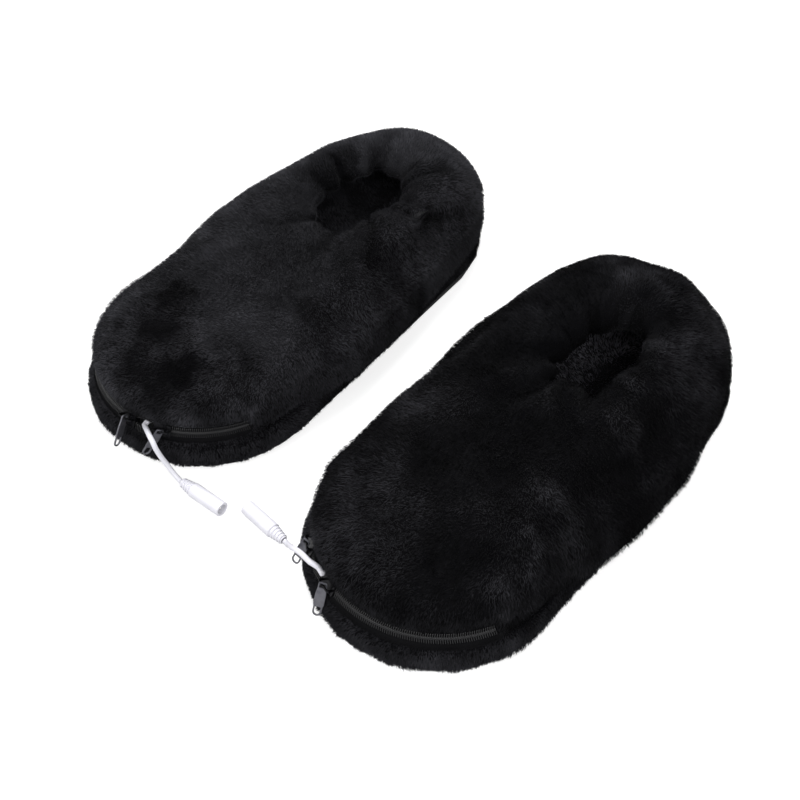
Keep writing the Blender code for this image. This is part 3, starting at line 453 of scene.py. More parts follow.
# %% Helpers for node groups
def new_group(name, inputs, outputs):
    """An empty node group with named inputs (label, kind, value) and outputs (label, kind)."""
    group = bpy.data.node_groups.new(name, "ShaderNodeTree")
    for label, kind, value in inputs:
        group.interface.new_socket(name=label, in_out="INPUT", socket_type=kind).default_value = value
    for label, kind in outputs:
        group.interface.new_socket(name=label, in_out="OUTPUT", socket_type=kind)
    return group, group.nodes.new("NodeGroupInput"), group.nodes.new("NodeGroupOutput")


def wire(tree, *pairs):
    for start, end in pairs:
        tree.links.new(start, end)


def setting(node, **values):
    """A node with values on its inputs, named with _ for a space."""
    for label, value in values.items():
        node.inputs[label.replace("_", " ")].default_value = value
    return node


print("helpers for groups:", new_group.__name__, wire.__name__, setting.__name__)

# %% [markdown]
# The patches mix two tones by a soft cloud, and the weave adds two waves of yarns at right angles.


# %% The two groups
def patches_group():
    """Mixes two tones in cloudy patches, and gives a fine height."""
    grey = (0.5, 0.5, 0.5, 1)
    group, enter, leave = new_group(
        "patches",
        [
            ("Tone", "NodeSocketColor", grey), ("Other Tone", "NodeSocketColor", grey),
            ("Patch Scale", "NodeSocketFloat", 40.0), ("Grain Scale", "NodeSocketFloat", 900.0),
        ],
        [("Color", "NodeSocketColor"), ("Height", "NodeSocketFloat")],
    )
    nodes = group.nodes
    place = nodes.new("ShaderNodeNewGeometry")
    cloud = setting(nodes.new("ShaderNodeTexNoise"), Detail=4.0)
    grain = setting(nodes.new("ShaderNodeTexNoise"), Detail=2.0)
    ramp = setting(nodes.new("ShaderNodeMapRange"), From_Min=0.38, From_Max=0.62)
    mix = nodes.new("ShaderNodeMix")
    mix.data_type = "RGBA"
    wire(
        group,
        (place.outputs["Position"], cloud.inputs["Vector"]),
        (place.outputs["Position"], grain.inputs["Vector"]),
        (enter.outputs["Patch Scale"], cloud.inputs["Scale"]),
        (enter.outputs["Grain Scale"], grain.inputs["Scale"]),
        (cloud.outputs["Fac"], ramp.inputs["Value"]),
        (ramp.outputs["Result"], mix.inputs["Factor"]),
        (enter.outputs["Tone"], mix.inputs["A"]),
        (enter.outputs["Other Tone"], mix.inputs["B"]),
        (mix.outputs["Result"], leave.inputs["Color"]),
        (grain.outputs["Fac"], leave.inputs["Height"]),
    )
    return group


def weave_group():
    """Height of crossing yarns, from two waves at right angles."""
    scale = ("Yarn Scale", "NodeSocketFloat", 250.0)
    group, enter, leave = new_group("weave", [scale], [("Height", "NodeSocketFloat")])
    place = group.nodes.new("ShaderNodeNewGeometry")
    add = group.nodes.new("ShaderNodeMath")
    for k, direction in enumerate("XZ"):
        wave = setting(group.nodes.new("ShaderNodeTexWave"), Distortion=0.6)
        wave.bands_direction = direction
        wire(
            group,
            (place.outputs["Position"], wave.inputs["Vector"]),
            (enter.outputs["Yarn Scale"], wave.inputs["Scale"]),
            (wave.outputs["Fac"], add.inputs[k]),
        )
    wire(group, (add.outputs[0], leave.inputs["Height"]))
    return group


PATCHES = patches_group()
WEAVE = weave_group()
print("groups:", [group.name for group in bpy.data.node_groups])

# %% [markdown]
# Each finish is its own material. Its colour comes from the patches, and its bump from their grain or, on
# cloth, from the weave. Numbers that are the same all over a surface stand on the shader's own sockets.


# %% Material helpers
def material(name, tone, other, roughness, patch=40, grain=900, yarn=0, bump=0, depth=0.0002, **settings):
    """A Principled material with two tones in patches and a bump of some depth in metres."""
    mat = bpy.data.materials.new(name)
    mat.use_nodes = True
    tree = mat.node_tree
    shader = setting(tree.nodes["Principled BSDF"], Roughness=roughness, **settings)
    clouds = tree.nodes.new("ShaderNodeGroup")
    clouds.node_tree = PATCHES
    setting(clouds, Tone=(*tone, 1), Other_Tone=(*other, 1), Patch_Scale=patch, Grain_Scale=grain)
    wire(tree, (clouds.outputs["Color"], shader.inputs["Base Color"]))
    height = clouds.outputs["Height"]
    if yarn:
        cloth = tree.nodes.new("ShaderNodeGroup")
        cloth.node_tree = WEAVE
        height = setting(cloth, Yarn_Scale=yarn).outputs["Height"]
    if bump:
        relief = setting(tree.nodes.new("ShaderNodeBump"), Strength=bump, Distance=depth)
        wire(tree, (height, relief.inputs["Height"]), (relief.outputs["Normal"], shader.inputs["Normal"]))
    mat.diffuse_color = (*tone, 1)
    return mat


def pile_materials(name, tones, roughness, patch):
    """One material for each tone of a pile, from dark to light, with a faint cold sheen."""
    sheen = {"Sheen_Weight": 0.02, "Sheen_Roughness": 0.4, "Specular_IOR_Level": 0.02}
    return [
        material(name + str(k), (t, t, t * 1.14), (t * 1.4, t * 1.4, t * 1.6), roughness, patch, **sheen)
        for k, t in enumerate(tones)
    ]


print("helpers use the groups", PATCHES.name, "and", WEAVE.name)

# %% [markdown]
# The tones are the real ones: near-black plush, matte black tape, dark gunmetal, a brighter metal for the
# tabs and white plastic. The pieces inside get the usual felt, foam and wire.

# %% Materials of the cloths
PLUSH_SKIN = material(
    "plush_backing", (0.0022, 0.0022, 0.0027), (0.0038, 0.0038, 0.0044), 0.95,
    grain=500, bump=0.6, depth=0.0006, Specular_IOR_Level=0.03,
)
PILE = pile_materials("plush_pile_", (0.0022, 0.0048, 0.0090, 0.0150, 0.0230, 0.0340), 0.75, 70)
FLEECE_SKIN = material(
    "fleece_backing", (0.008, 0.008, 0.009), (0.013, 0.013, 0.015), 0.95,
    grain=700, bump=0.8, depth=0.0008, Specular_IOR_Level=0.03,
)
FLEECE = pile_materials("fleece_pile_", (0.008, 0.018, 0.036, 0.075), 0.85, 90)
FOAM = material(
    "foam", (0.016, 0.016, 0.018), (0.022, 0.022, 0.024), 0.9, grain=1500, bump=0.7, depth=0.0004
)
FELT = material("felt", (0.20, 0.20, 0.21), (0.16, 0.16, 0.17), 0.95, grain=1200, bump=0.6, depth=0.0003)
GRIP = material(
    "grip_sole", (0.030, 0.030, 0.032), (0.022, 0.022, 0.024), 0.75, 60, yarn=180, bump=0.4, depth=0.0003
)
TAPE = material(
    "zip_tape", (0.0026, 0.0026, 0.0031), (0.0042, 0.0042, 0.0048), 0.85, 60,
    yarn=420, bump=0.5, depth=0.00015, Specular_IOR_Level=0.05,
)
ELASTIC = material(
    "elastic", (0.013, 0.013, 0.014), (0.02, 0.02, 0.02), 0.8, 60, yarn=500, bump=0.4, depth=0.0001
)
print("cloths:", len(bpy.data.materials))

# %% [markdown]
# Metal and moulded plastic have hardly any grain. What matters there is how sharp the highlights are.

# %% Materials of the hard pieces
TEETH = material(
    "zip_teeth", (0.0065, 0.0065, 0.0075), (0.010, 0.010, 0.011), 0.24,
    grain=2500, bump=0.1, depth=0.00005, Specular_IOR_Level=0.5,
)
GUNMETAL = material(
    "gunmetal", (0.014, 0.014, 0.016), (0.009, 0.009, 0.011), 0.22, 300, 2500,
    bump=0.12, depth=0.00004, Metallic=0.8,
)
TAB_METAL = material(
    "tab_metal", (0.17, 0.17, 0.19), (0.12, 0.12, 0.14), 0.34, 260, 2600,
    bump=0.1, depth=0.00004, Metallic=0.8,
)
WHITE = material(
    "white_plastic", (0.71, 0.705, 0.76), (0.68, 0.675, 0.735), 0.40, 120, 2200, bump=0.05, depth=0.00004
)
NICKEL = material(
    "nickel", (0.62, 0.60, 0.57), (0.58, 0.56, 0.54), 0.25, 300, 3000,
    bump=0.05, depth=0.00003, Metallic=1.0,
)
WIRE = material(
    "heating_wire", (0.55, 0.10, 0.05), (0.50, 0.08, 0.04), 0.45, 200, 2000, bump=0.1, depth=0.00005
)
print("materials:", len(bpy.data.materials))

# %% [markdown]
# ## Cables
#
# Each cable is a free cord: it comes out between the rows of teeth, bends over a slider and drops to the
# floor, where its socket lies. A curve object keeps it one smooth tube.


# %% Cables
STUB = 0.0012
CABLE_STEP = 0.0022


def smooth_route(points, step):
    """Points about a step apart on one smooth curve through the route's own points."""
    knots = [2 * points[0] - points[1], *points, 2 * points[-1] - points[-2]]
    found = [knots[1]]
    for a, b, c, d in zip(knots, knots[1:], knots[2:], knots[3:]):
        pieces = max(1, round(np.linalg.norm(c - b) / step))
        bow, turn = 2 * a - 5 * b + 4 * c - d, 3 * b - a - 3 * c + d
        for i in range(1, pieces + 1):
            t = i / pieces
            found.append((2 * b + (c - a) * t + bow * t**2 + turn * t**3) / 2)
    return np.array(found)


def round_bar(name, points, radius, sides=5):
    """A round tube along points."""
    data = bpy.data.curves.new(name, "CURVE")
    data.dimensions = "3D"
    data.bevel_depth = radius
    data.bevel_resolution = sides
    data.use_fill_caps = True
    spline = data.splines.new("POLY")
    spline.points.add(len(points) - 1)
    for knot, point in zip(spline.points, points):
        knot.co = (*point, 1)
    spline.use_smooth = True
    return data


def cable_line(shoe):
    """The cable's centreline, from the zip to the socket."""
    facing = np.array((math.sin(shoe.exit_angle), -math.cos(shoe.exit_angle), 0))
    leave = [facing * (ZIP_RADIUS + x) + (0, 0, ZIP_HEIGHT) for x in (SEAT / 2, STUB)]
    away = np.array((-math.cos(shoe.heading), -math.sin(shoe.heading), 0))
    arrive = [shoe.socket + away * x for x in (SEAT + STUB, SEAT)]
    inner = smooth_route(np.array([leave[1], *shoe.route, arrive[0]]), CABLE_STEP)
    return shoe.from_toe(np.array([leave[0], *inner, arrive[1]]))


for shoe in SHOES:
    name, line = shoe.name("cable_dressed"), cable_line(shoe)
    shoe.cable = piece(name, round_bar(name, line, CABLE), WHITE, "white_plastic", [shoe.name("cable")])
    shoe.cable_length = float(np.linalg.norm(np.diff(line, axis=0), axis=1).sum())
    print(name, "is", round(shoe.cable_length * 1000, 1), "mm long, from", np.round(line[0], 4))

# %% [markdown]
# ## The plush cover: its skin
#
# The cover is one closed skin: up over the foot, rolled round the elastic and a hem's width inside. Folds
# run out from the gathered mouth, and the padding lies in soft lumps. They are moves of the surface along
# its own normal, so the same code serves both shoes with other numbers.

# %% Folds, lumps and the thick lip
FOLDS = {
    # bearing at the mouth and at the sole, half width, share where it starts and is full, depth in mm,
    # which also sets how dark the valley's painted shade is
    "right": (
        (82, 140, 5, 0.05, 0.75, 4.2), (150, 158, 4.5, 0.45, 0.95, 3), (205, 200, 6, 0.6, 1, 3),
        (247, 250, 6, 0.55, 1, 4.2), (275, 292, 7, 0.55, 1, 2), (330, 338, 6, 0.75, 1, 2.6),
        (58, 34, 7, 0.3, 0.95, 2.6), (12, 8, 7, 0.7, 1, 1.4), (112, 108, 6, 0.55, 1, 2.2),
    ),
    "left": (
        (30, 22, 7, 0.62, 1, 3.4), (96, 84, 8, 0.5, 1, 2.2), (150, 146, 9, 0.45, 1, 2.6),
        (236, 244, 9, 0.45, 1, 2.6), (318, 326, 8, 0.45, 1, 3.4), (346, 352, 6, 0.62, 1, 3.4),
    ),
}
LUMPS = {"right": (0.0013, 0.0006), "left": (0.0024, 0.0013)}
GATHER = {"right": 0.16, "left": 0.26}
SWELL = {
    # bearing, half width and height of the places where the lip is thicker
    "right": ((62, 46, 0.0125), (140, 40, 0.0060), (350, 30, 0.0030), (250, 50, 0.0020)),
    "left": ((200, 60, 0.0105), (285, 45, 0.0100), (8, 26, 0.0060), (80, 45, 0.0040)),
}
print("folds:", {side: len(rows) for side, rows in FOLDS.items()})

# %% [markdown]
# Dents and bumps are places where a hand pressed the padding or brushed the pile. Each has its own form,
# and a tone for its pile: painted shade in most hollows, painted light on most rises, and where it has no
# height only a patch of darker or lighter pile.

# %% Dents
DENTS = {
    # place in the shoe, radius and height, all in mm, and how much lighter (+) or darker (-) its pile is
    # painted: painted shade in hollows, painted light on rises, a plain patch where there is no height
    "right": (
        (-26, -84, 12, -1.3, -2.8), (-10, -103, 12, -1, -2.8), (-5, -130, 13, -0.8, -2.4),
        (20, -116, 12, -1.2, -2.8), (27, -106, 8, -0.8, -2), (51, -98, 9, -0.6, -1.8),
        (14, -136, 9, 0, -2), (-6, -93, 7, 0.8, 0.4), (45, -118, 9, 0, -1.6), (21, -50, 36, 1, 0.3),
        (54, 44, 12, 1.2, 0.2), (59, -38, 15, -1, -1.4), (60, 20, 14, -0.8, -1.8),
        (-30, 55, 12, 0, -1.6), (42, 98, 26, 1, -0.7), (50, 68, 7, -1.8, -1.6), (-25, 74, 9, 0, -1.6),
        (-34, -100, 10, 0, -1.6), (-8, -95, 17, 0, -1.2), (15, -128, 18, 0, -1.2),
        (58, 10, 34, 0, -0.8),
    ),
    "left": (
        (-5, -43, 11, -3.8, -2.2), (-23, 0, 11, -3, -2), (-27, 17, 11, -2.4, -1.8), (12, -9, 8, 4.6, 2),
        (26, 4, 8, 2.8, 1.8), (34, 34, 6, 2, 2), (34, 50, 6, 2, 1.9), (31, 65, 7, 1, 2),
        (47, 8, 10, 2.8, 0.9), (58, 28, 13, -2, -0.9), (44, -49, 9, 2.2, 1.7), (54, -80, 8, 1.8, 1.7),
        (46, -71, 6, 1.4, 1.4), (57, -99, 7, 0, 1.5), (63, -51, 8, 0, 1.2), (25, -87, 9, 0, 0.9),
        (-10, -70, 12, -3.6, -2.2), (31, -108, 13, -1.8, -1.5), (31, -90, 9, -0.8, -1.2),
        (18, -30, 13, -1.4, -1.2), (46, -28, 12, 0, -1.4), (57, -6, 10, -1.8, -1.6),
        (19, -57, 10, -1.6, -1), (-4, -74, 7, 0, -1.3), (-24, -106, 36, 0.8, 2.2),
        (2, -128, 16, 0, 0.4), (28, 108, 13, -1.8, -0.3), (1, 94, 18, 1.8, 1.2), (30, 110, 34, 0, 0.6),
        (-45, -35, 22, 1.4, 1.2), (50, 68, 14, 0, 0.9),
    ),
}
print("dents:", {side: len(rows) for side, rows in DENTS.items()})

# %% [markdown]
# Along the sides the padding also swells and sinks, and behind the zip's ends it hangs over the edge of
# the sole. The overhang's profile is a short list of places that a smooth curve runs through, and a table
# says how much of it there is at each place round the shoe.


# %% Overhang and girth of the sides
def every_20_mm(start, *values):
    """Knots of a table: how far round from the toe's middle, and the value there."""
    return [(start + 0.02 * k, value) for k, value in enumerate(values)]


# inset from the sole's edge, and height
OVERHANG = np.array(
    ((0.0000, 0.0187), (-0.0056, 0.0192), (-0.0098, 0.0166), (-0.0121, 0.0138), (-0.0131, 0.0158),
     (-0.0133, 0.0215), (-0.0129, 0.0265), (-0.0114, 0.0318), (-0.0094, 0.0364))
)
# how much of the profile there is, on the +X side and on the -X side
HANG = {
    "right": (
        every_20_mm(
            0.10, 0, 0.10, 0.50, 0.86, 1.00, 0.86, 0.68, 0.50, 0.34, 0.26, 0.24, 0.32, 0.48, 0.54, 0.50
        ),
        every_20_mm(0.14, 0, 0.22, 0.52, 0.78, 0.96, 0.66, 0.40, 0.15, 0.02, 0, 0.10, 0.36, 0.50),
    ),
    "left": (
        every_20_mm(
            0.10, 0, 0.02, 0.43, 0.86, 1.16, 1.20, 1.08, 1.02, 0.78, 0.43, 0.33, 0.23, 0.36, 0.40, 0.35
        ),
        every_20_mm(0.12, 0, 0.05, 0.15, 0.42, 0.80, 1.10, 1.10, 0.80, 0.45, 0.25, 0.45, 0.40, 0.22, 0.35),
    ),
}
# how far the padded side itself stands out or in, in mm, again on the +X and on the -X side
GIRTH = {
    "right": (
        ((0.19, 0), (0.22, -2.8), (0.24, -4.4), (0.27, -4.6), (0.29, -2.4), (0.31, 0)),
        every_20_mm(
            0.04, -0.5, -3.0, -4.6, -6.2, -4.8, -3.2, 0.8, 1.8, 1.4, 1.4, -0.4, -2.0,
            -3.0, -3.8, -3.6, -3.0, 0,
        ),
    ),
    "left": (
        ((0, 0), (0.38, 0)),
        every_20_mm(
            0.04, 0, -1.8, -3.4, -6.0, -2.0, -0.8, -1.4, 0, 0.6, 1.4, 1.4, 0.8, 0,
            -0.4, 3.0, 0.4, -3.0, -2.4,
        ),
    ),
}
print("the overhang reaches", round(-OVERHANG[:, 0].min() * 1000, 1), "mm past the upper's outline")

# %% [markdown]
# All of that comes together in one function. For every point of the skin it gives the height along the
# normal and the tone of the pile. The noise tears the edges of the dents, so that none looks round.


# %% Relief and tone of the upper
DRAWN_AT_LIP, DRAWN_BELOW = 0.0012, 0.010


def along_sides(cols, table):
    """A value for each column, from a table for the +X side and one for the -X side."""
    around = around_of(cols.count)
    values = [np.interp(around, *np.array(knots).T) for knots in table]
    value = np.where(cols.out[:, 0] > 0, *values)
    span = cols.count // 60
    for _ in range(2):
        value = sum(np.roll(value, k) for k in range(-span, span + 1)) / (2 * span + 1)
    return value


def relief_of(shoe, cols, points, t):
    """How far the plush stands out (+) or is drawn in (-) at each point, and how light its pile is, with
    painted shade in the folds' valleys and the dents and painted light on the bumps.
    """
    big, small = LUMPS[shoe.side]
    seed = shoe.seed
    near_zip = np.abs(cols.toe_angle)[:, None] < ZIP_HALF + 0.1
    calm = np.where(near_zip, np.clip(t / 0.25, 0, 1), np.clip(t / 0.05 + 0.3, 0, 1))
    form = noises(points, seed, (big, 0.042, 0), (small, 0.019, 5)) * calm
    tone = np.zeros_like(form)
    degrees = np.degrees(cols.bearing)[:, None] % 360
    sway = 3.0 * noise(points, 0.03, seed + 9)
    for near, far, wide, start, end, depth in FOLDS[shoe.side]:
        off = turned_off(degrees, far + (near - far) * t) + sway
        fade = smoothstep((t - start) / (end - start))
        valley = np.exp(-((off / wide) ** 2))
        bank = sum(np.exp(-(((off + side * wide) / wide) ** 2)) for side in (-1.9, 1.9))
        form = form + depth * MM * fade * (0.4 * bank - valley)
        # The fold's valley is also painted darker: painted shade in the crease.
        tone = tone - fade * valley * depth / 2
    torn = [0.0065 * noise(points, 0.011, seed + k) for k in (11, 13)]
    ragged = 1 + noises(points, seed, (0.9, 0.008, 17), (0.5, 0.004, 18))
    for x, y, radius, height, light in np.array(DENTS[shoe.side]) * (MM, MM, MM, MM, 1):
        square = (points[..., 0] + torn[0] - x) ** 2 + (points[..., 1] + torn[1] - y) ** 2
        away = np.exp(-square / radius**2)
        form = form + height * away * calm
        # Painted shade in the dents and painted light on the bumps, with ragged edges; a dent without
        # height only gives a patch of tone.
        tone = tone + light * (0.5 * away + 0.5 * smoothstep((away * ragged - 0.15) / 0.55))
    girth = along_sides(cols, GIRTH[shoe.side])[:, None] * MM
    form = form + girth * smoothstep(t / 0.15) * (1 - smoothstep((t - 0.45) / 0.45))
    lip = smoothstep((t - 0.72) / 0.28)
    for at, wide, height in SWELL[shoe.side]:
        form = form + height * lip * np.exp(-((turned_off(degrees, at) / wide) ** 2))
    # Near the lip little is drawn in, since the lip's own back stays where it is.
    return np.maximum(form, -DRAWN_AT_LIP - DRAWN_BELOW * (1 - smoothstep((t - 0.80) / 0.17))), tone


up = np.linspace(0, 1, 9)
relief, light = relief_of(RIGHT, columns, columns.surface(up, 0), up[None])
print("relief from", round(relief.min() * 1000, 1), "to", round(relief.max() * 1000, 1), "mm")

# %% [markdown]
# The outer face is a grid of rows: the wall, the bow over the foot, the lip and the hem inside. Over the
# zip its lower edge lifts, and it closes just past the last place that a slider needs.


# %% Rows of the outer face
COLUMNS = 420
PILE_HEIGHT = 0.0016
WALL_ROWS, BOW_ROWS, LIP_ROWS, HEM_ROWS = 18, 70, 12, 6
OVER_ZIP, COVER_LAST, COVER_CLOSES = 0.0106, 68.4, 2.8
UNDERCUT = 0.0130


def overhang(cols, wall, bow):
    """Moves the wall's and the bow's rows out over the sole's edge."""
    uneven = 1 + 0.10 * noise(cols.base, 0.035, cols.shoe.seed + 15)
    full = along_sides(cols, HANG[cols.shoe.side]) * uneven
    rows = np.linspace(0, 1, wall.shape[1] + 1)[:-1]
    knots = np.linspace(0, 1, len(OVERHANG))
    out = np.interp(rows, knots, -OVERHANG[:, 0])
    high = np.interp(rows, knots, OVERHANG[:, 1])
    moved = wall + cols.out[:, None] * (out[None] * full[:, None])[..., None]
    moved[..., 2] += (high - wall[..., 2]) * np.minimum(3 * full, 1)[:, None]
    rest = UNDERCUT * (1 - smoothstep((bow[..., 2] - 0.026) / 0.036)) * full[:, None]
    return moved, bow + cols.out[:, None] * rest[..., None]


def cover_rows(shoe):
    """The outer skin [column][row] from lower edge to hem, how far up each row lies, and its tone."""
    cols = Columns(shoe, COLUMNS).loosen(GATHER[shoe.side])
    shares = np.linspace(0, 1, BOW_ROWS)
    wall = cols.wall(WALL_ROWS, cols.foot(OVER_ZIP, COVER_LAST, COVER_CLOSES) + 0.0004, PILE_HEIGHT)
    wall, bow = overhang(cols, wall, cols.surface(shares, PILE_HEIGHT))
    lip = cols.lip(UPPER_DEPTH / 2 - PILE_HEIGHT, np.linspace(0, math.pi, LIP_ROWS + 2)[1:-1])
    inside_t = 1 - np.linspace(0, 1, HEM_ROWS)[None] * (1 - cols.hem(HEM))[:, None]
    inside = cols.surface(inside_t, UPPER_DEPTH - PILE_HEIGHT)
    points = np.concatenate((wall, bow, lip, inside), 1)
    rows = np.concatenate((np.zeros(WALL_ROWS), shares, np.ones(LIP_ROWS + HEM_ROWS)))
    rows = np.broadcast_to(rows, points.shape[:2]).copy()
    relief, tone = relief_of(shoe, cols, points, rows)
    relief[:, -HEM_ROWS:] *= np.linspace(0.9, 0.2, HEM_ROWS)
    points = points + normals_of(points) * relief[..., None]
    return cols, points, rows, tone


print("outer face:", COLUMNS, "columns of", WALL_ROWS + BOW_ROWS + LIP_ROWS + HEM_ROWS, "points")

# %% [markdown]
# The tone of the pile is a base, the painted shade and light that the folds and dents give, a cloud of
# noise that is left out where the plush lies even, and painted shade low on the sides. The skin under the
# pile gets the same tones, a little darker.


# %% Tone of the pile, and the skin below it
TONE = {"right": (4.2, 0.30), "left": (1.1, 1.1)}
BACKING_DARKER = 1.6
RUFFLED_TOE = {"right": 0.9, "left": 0.0}
# the even place: its middle and radius
EVEN = {"right": (0.010, -0.020, 0.060), "left": (-0.022, -0.106, 0.040)}
CLOUDS = ((1, 0.022, 61), (0.6, 0.009, 62), (0.4, 0.004, 63))


def tone_of(shoe, cols, outer, rows, tone):
    """The tone at each point of the outer face, as a place in the list of pile materials."""
    base, cloudy = TONE[shoe.side]
    cloud = noises(shoe.to_frame(outer), shoe.seed, *CLOUDS)
    x, y, radius = EVEN[shoe.side]
    cloudy = cloudy + RUFFLED_TOE[shoe.side] * smoothstep((-0.075 - outer[..., 1]) / 0.025)
    even = np.exp(-((outer[..., 0] - x) ** 2 + (outer[..., 1] - y) ** 2) / radius**2)
    tone = base + tone + cloudy * np.tanh(1.6 * cloud) * (1 - 0.85 * even)
    over_zip = (np.abs(cols.toe_angle) < ZIP_HALF + 0.06)[:, None]
    # The lowest rows of the sides are painted darker, as painted shade; over the zip they are made lighter.
    return tone + np.where(over_zip, 0.5, -0.4) * smoothstep((0.10 - rows) / 0.10)


def toned(skin, tone, rows):
    """Gives a skin's outer faces the material that suits the pile above them."""
    for finish in PILE:
        skin.data.materials.append(finish)
    shade = np.zeros((len(tone), rows), np.int32)
    rough = tone + 0.5 * np.random.default_rng(5).random(tone.shape) - BACKING_DARKER
    shade[:, : tone.shape[1] - 1] = np.clip(np.round(rough[:, :-1]), 0, len(PILE))
    skin.data.polygons.foreach_set("material_index", shade.ravel())


print("tones of pile:", len(PILE))

# %% [markdown]
# Back, hem and lower edge close the skin, and it becomes one padded piece in place of the smooth solid.


# %% The cover
def cover(shoe):
    cols, outer, rows, tone = cover_rows(shoe)
    shares = np.linspace(0, 1, 30)
    back = cols.surface(shares, COVER)
    sink = np.minimum(relief_of(shoe, cols, back, np.broadcast_to(shares, back.shape[:2]))[0], 0)
    back = (back + normals_of(back) * sink[..., None])[:, ::-1]
    hem_back = cols.surface(cols.hem(HEM)[:, None], LINING_DEPTH)
    lip_back = cols.lip(UPPER_DEPTH / 2 - COVER, np.linspace(math.pi, 0, 5)[1:-1])
    wall_back = cols.wall(2, cols.foot(OVER_ZIP, COVER_LAST, COVER_CLOSES), COVER)[:, ::-1]
    loop = np.concatenate((outer, hem_back, lip_back, back, wall_back), 1)
    skin = closed_skin(shoe, "plush_cover", loop, PLUSH_SKIN, "plush", "upper_cover")
    shoe.columns, shoe.cover_skin = cols, shoe.to_frame(outer)
    shoe.cover_tone = tone_of(shoe, cols, outer, rows, tone)
    toned(skin, shoe.cover_tone, loop.shape[1])
    return skin


for shoe in SHOES:
    print(cover(shoe).name, "has", shoe.cover_skin.shape, "skin points")

# %% [markdown]
# ## The sole's plush band
#
# A strip of the same plush wraps the sole's edge. It bulges a little, and it is uneven where the hand that
# sewed it gave it more or less cloth. Past the zip's ends it is pinched up against the cover.


# %% Plush band
FLAP, FLAP_AT_ZIP, FLAP_THICK = 0.0042, 0.0008, 0.0003
BAND_LIP = {"right": 0.0020, "left": 0.0004}
BAND_FOOT, BAND_INSET, BAND_BULGE, BAND_BACK = 0.0012, 0.0015, 0.0028, 0.0048
DRAWN_DEPTH = 0.0055
FACE_ROWS = 16
PINCH_AT, PINCH_WIDE, PINCH_HIGH, PINCH_IN = 69.0, 2.3, 0.0066, 0.0036
# how far round from the toe's middle, and how far the band is drawn in there in mm, on the +X and -X side
DRAWN_IN = {
    "right": (
        ((0.07, 0), (0.09, 2.0), (0.11, 1.8), (0.13, 0.8),
         (0.22, 2.2), (0.25, 4.2), (0.32, 4.2), (0.35, 2.0)),
        ((0, 0), (0.38, 0)),
    ),
    "left": (
        ((0.04, 0), (0.07, 2.6), (0.10, 3.0), (0.12, 1.6), (0.15, 0), (0.28, 0), (0.30, 1.8), (0.34, 0)),
        ((0.06, 0), (0.10, 1.8), (0.13, 0)),
    ),
}


def band(shoe):
    """The band's skin, with a flap over the foam up to the upper, but not where the tape goes in."""
    shares = np.arange(COLUMNS) / COLUMNS
    out, toe_angle = shoe.columns.out, outline(shares, 0.0)[2]
    drawn = along_sides(shoe.columns, DRAWN_IN[shoe.side])[:, None] * MM

    def edge(inset):
        return outline(shares, inset)[0] - out * drawn * (1 - inset / DRAWN_DEPTH)

    turns = np.linspace(0, 1, FACE_ROWS)
    inset = BAND_INSET + BAND_BULGE * np.abs(2 * turns - 1.0) ** 3.2
    height = BAND_FOOT + (BAND_TOP - 0.0002 - BAND_FOOT) * turns
    rows = [edge(x) + (0, 0, z) for x, z in zip(inset, height)]
    open_ = smoothstep((np.abs(toe_angle) - ZIP_HALF - 0.01) / 0.06)[:, None]
    pinch = np.exp(-(((np.degrees(np.abs(toe_angle)) - PINCH_AT) / PINCH_WIDE) ** 2))[:, None]
    up = BAND_LIP[shoe.side] * (1 - open_) + PINCH_HIGH * pinch
    lift = up * np.array((0, 0, 1.0)) - out * PINCH_IN * pinch
    flap = FLAP_AT_ZIP + (FLAP - FLAP_AT_ZIP) * open_
    base = edge(inset[-1])
    rows += [base - out * flap * t + (0, 0, BAND_TOP + 0.00015) + lift * t for t in (0.35, 0.7, 1.0)]
    outer = np.stack(rows, 1)
    wave = noises(outer, shoe.seed, (0.0007, 0.030, 21), (0.0004, 0.011, 22))
    wave[:, FACE_ROWS - 1 :] = 0.0
    outer = outer + normals_of(outer) * wave[..., None]
    low = BAND_TOP + 0.00005
    back = [base - out * (flap + FLAP_THICK) + (0, 0, low) + lift]
    back += [outline(shares, BAND_BACK)[0] + (0, 0, z) for z in (low, BAND_FOOT)]
    loop = np.concatenate((outer, np.stack(back, 1)), 1)
    skin = closed_skin(shoe, "plush_band", loop, PLUSH_SKIN, "plush", "sole_band")
    shoe.band_skin = shoe.to_frame(outer)
    return skin


for shoe in SHOES:
    print(band(shoe).name, "has", shoe.band_skin.shape, "skin points")

# %% [markdown]
# ## Pile
#
# Plush is a cloth with a pile of fine fibres that cling together in tufts and lie the way they were last
# stroked. Blender's hair would render well but isn't a mesh. Here every lock of fibres is one thin pointed
# blade, rooted on the skin, so the pile is real geometry in any view. Where the pile lies another way the
# plush looks darker or lighter, and noise turns its lie in patches.


# %% Roots of the pile
BLADE, TUFT = 0.00034, 0.0036
ROOT_DEPTH, LOWEST = 0.0003, 0.0003


def scatter(skin, count, rng, weight=None):
    """A function that reads any grid [column][row] at random roots, spread by the skin's area."""
    a, b = skin[:, :-1], np.roll(skin, -1, 0)[:, :-1]
    c, d = np.roll(skin, -1, 0)[:, 1:], skin[:, 1:]
    area = np.linalg.norm(np.cross(c - a, d - b), axis=-1) / 2
    if weight is not None:
        area = area * weight[:, :-1]
    share = np.cumsum(area.ravel())
    cell = np.minimum(np.searchsorted(share, rng.random(count) * share[-1]), area.size - 1)
    i, j = np.divmod(cell, area.shape[1])
    u, v = rng.random((2, count, 1))
    k = (i + 1) % len(skin)

    def read(grid):
        low = grid[i, j] * (1 - u) + grid[k, j] * u
        high = grid[i, j + 1] * (1 - u) + grid[k, j + 1] * u
        return low * (1 - v) + high * v

    return read


one = scatter(RIGHT.band_skin, 1, np.random.default_rng(2))
print("one root on the right band lies at", np.round(one(RIGHT.band_skin)[0], 3))

# %% [markdown]
# A blade's root and tip follow from the stroke, the lean, noise and the pull of its tuft. Two triangles up
# to its bend and one to its point make the blade, and its tone picks one of the pile's materials.


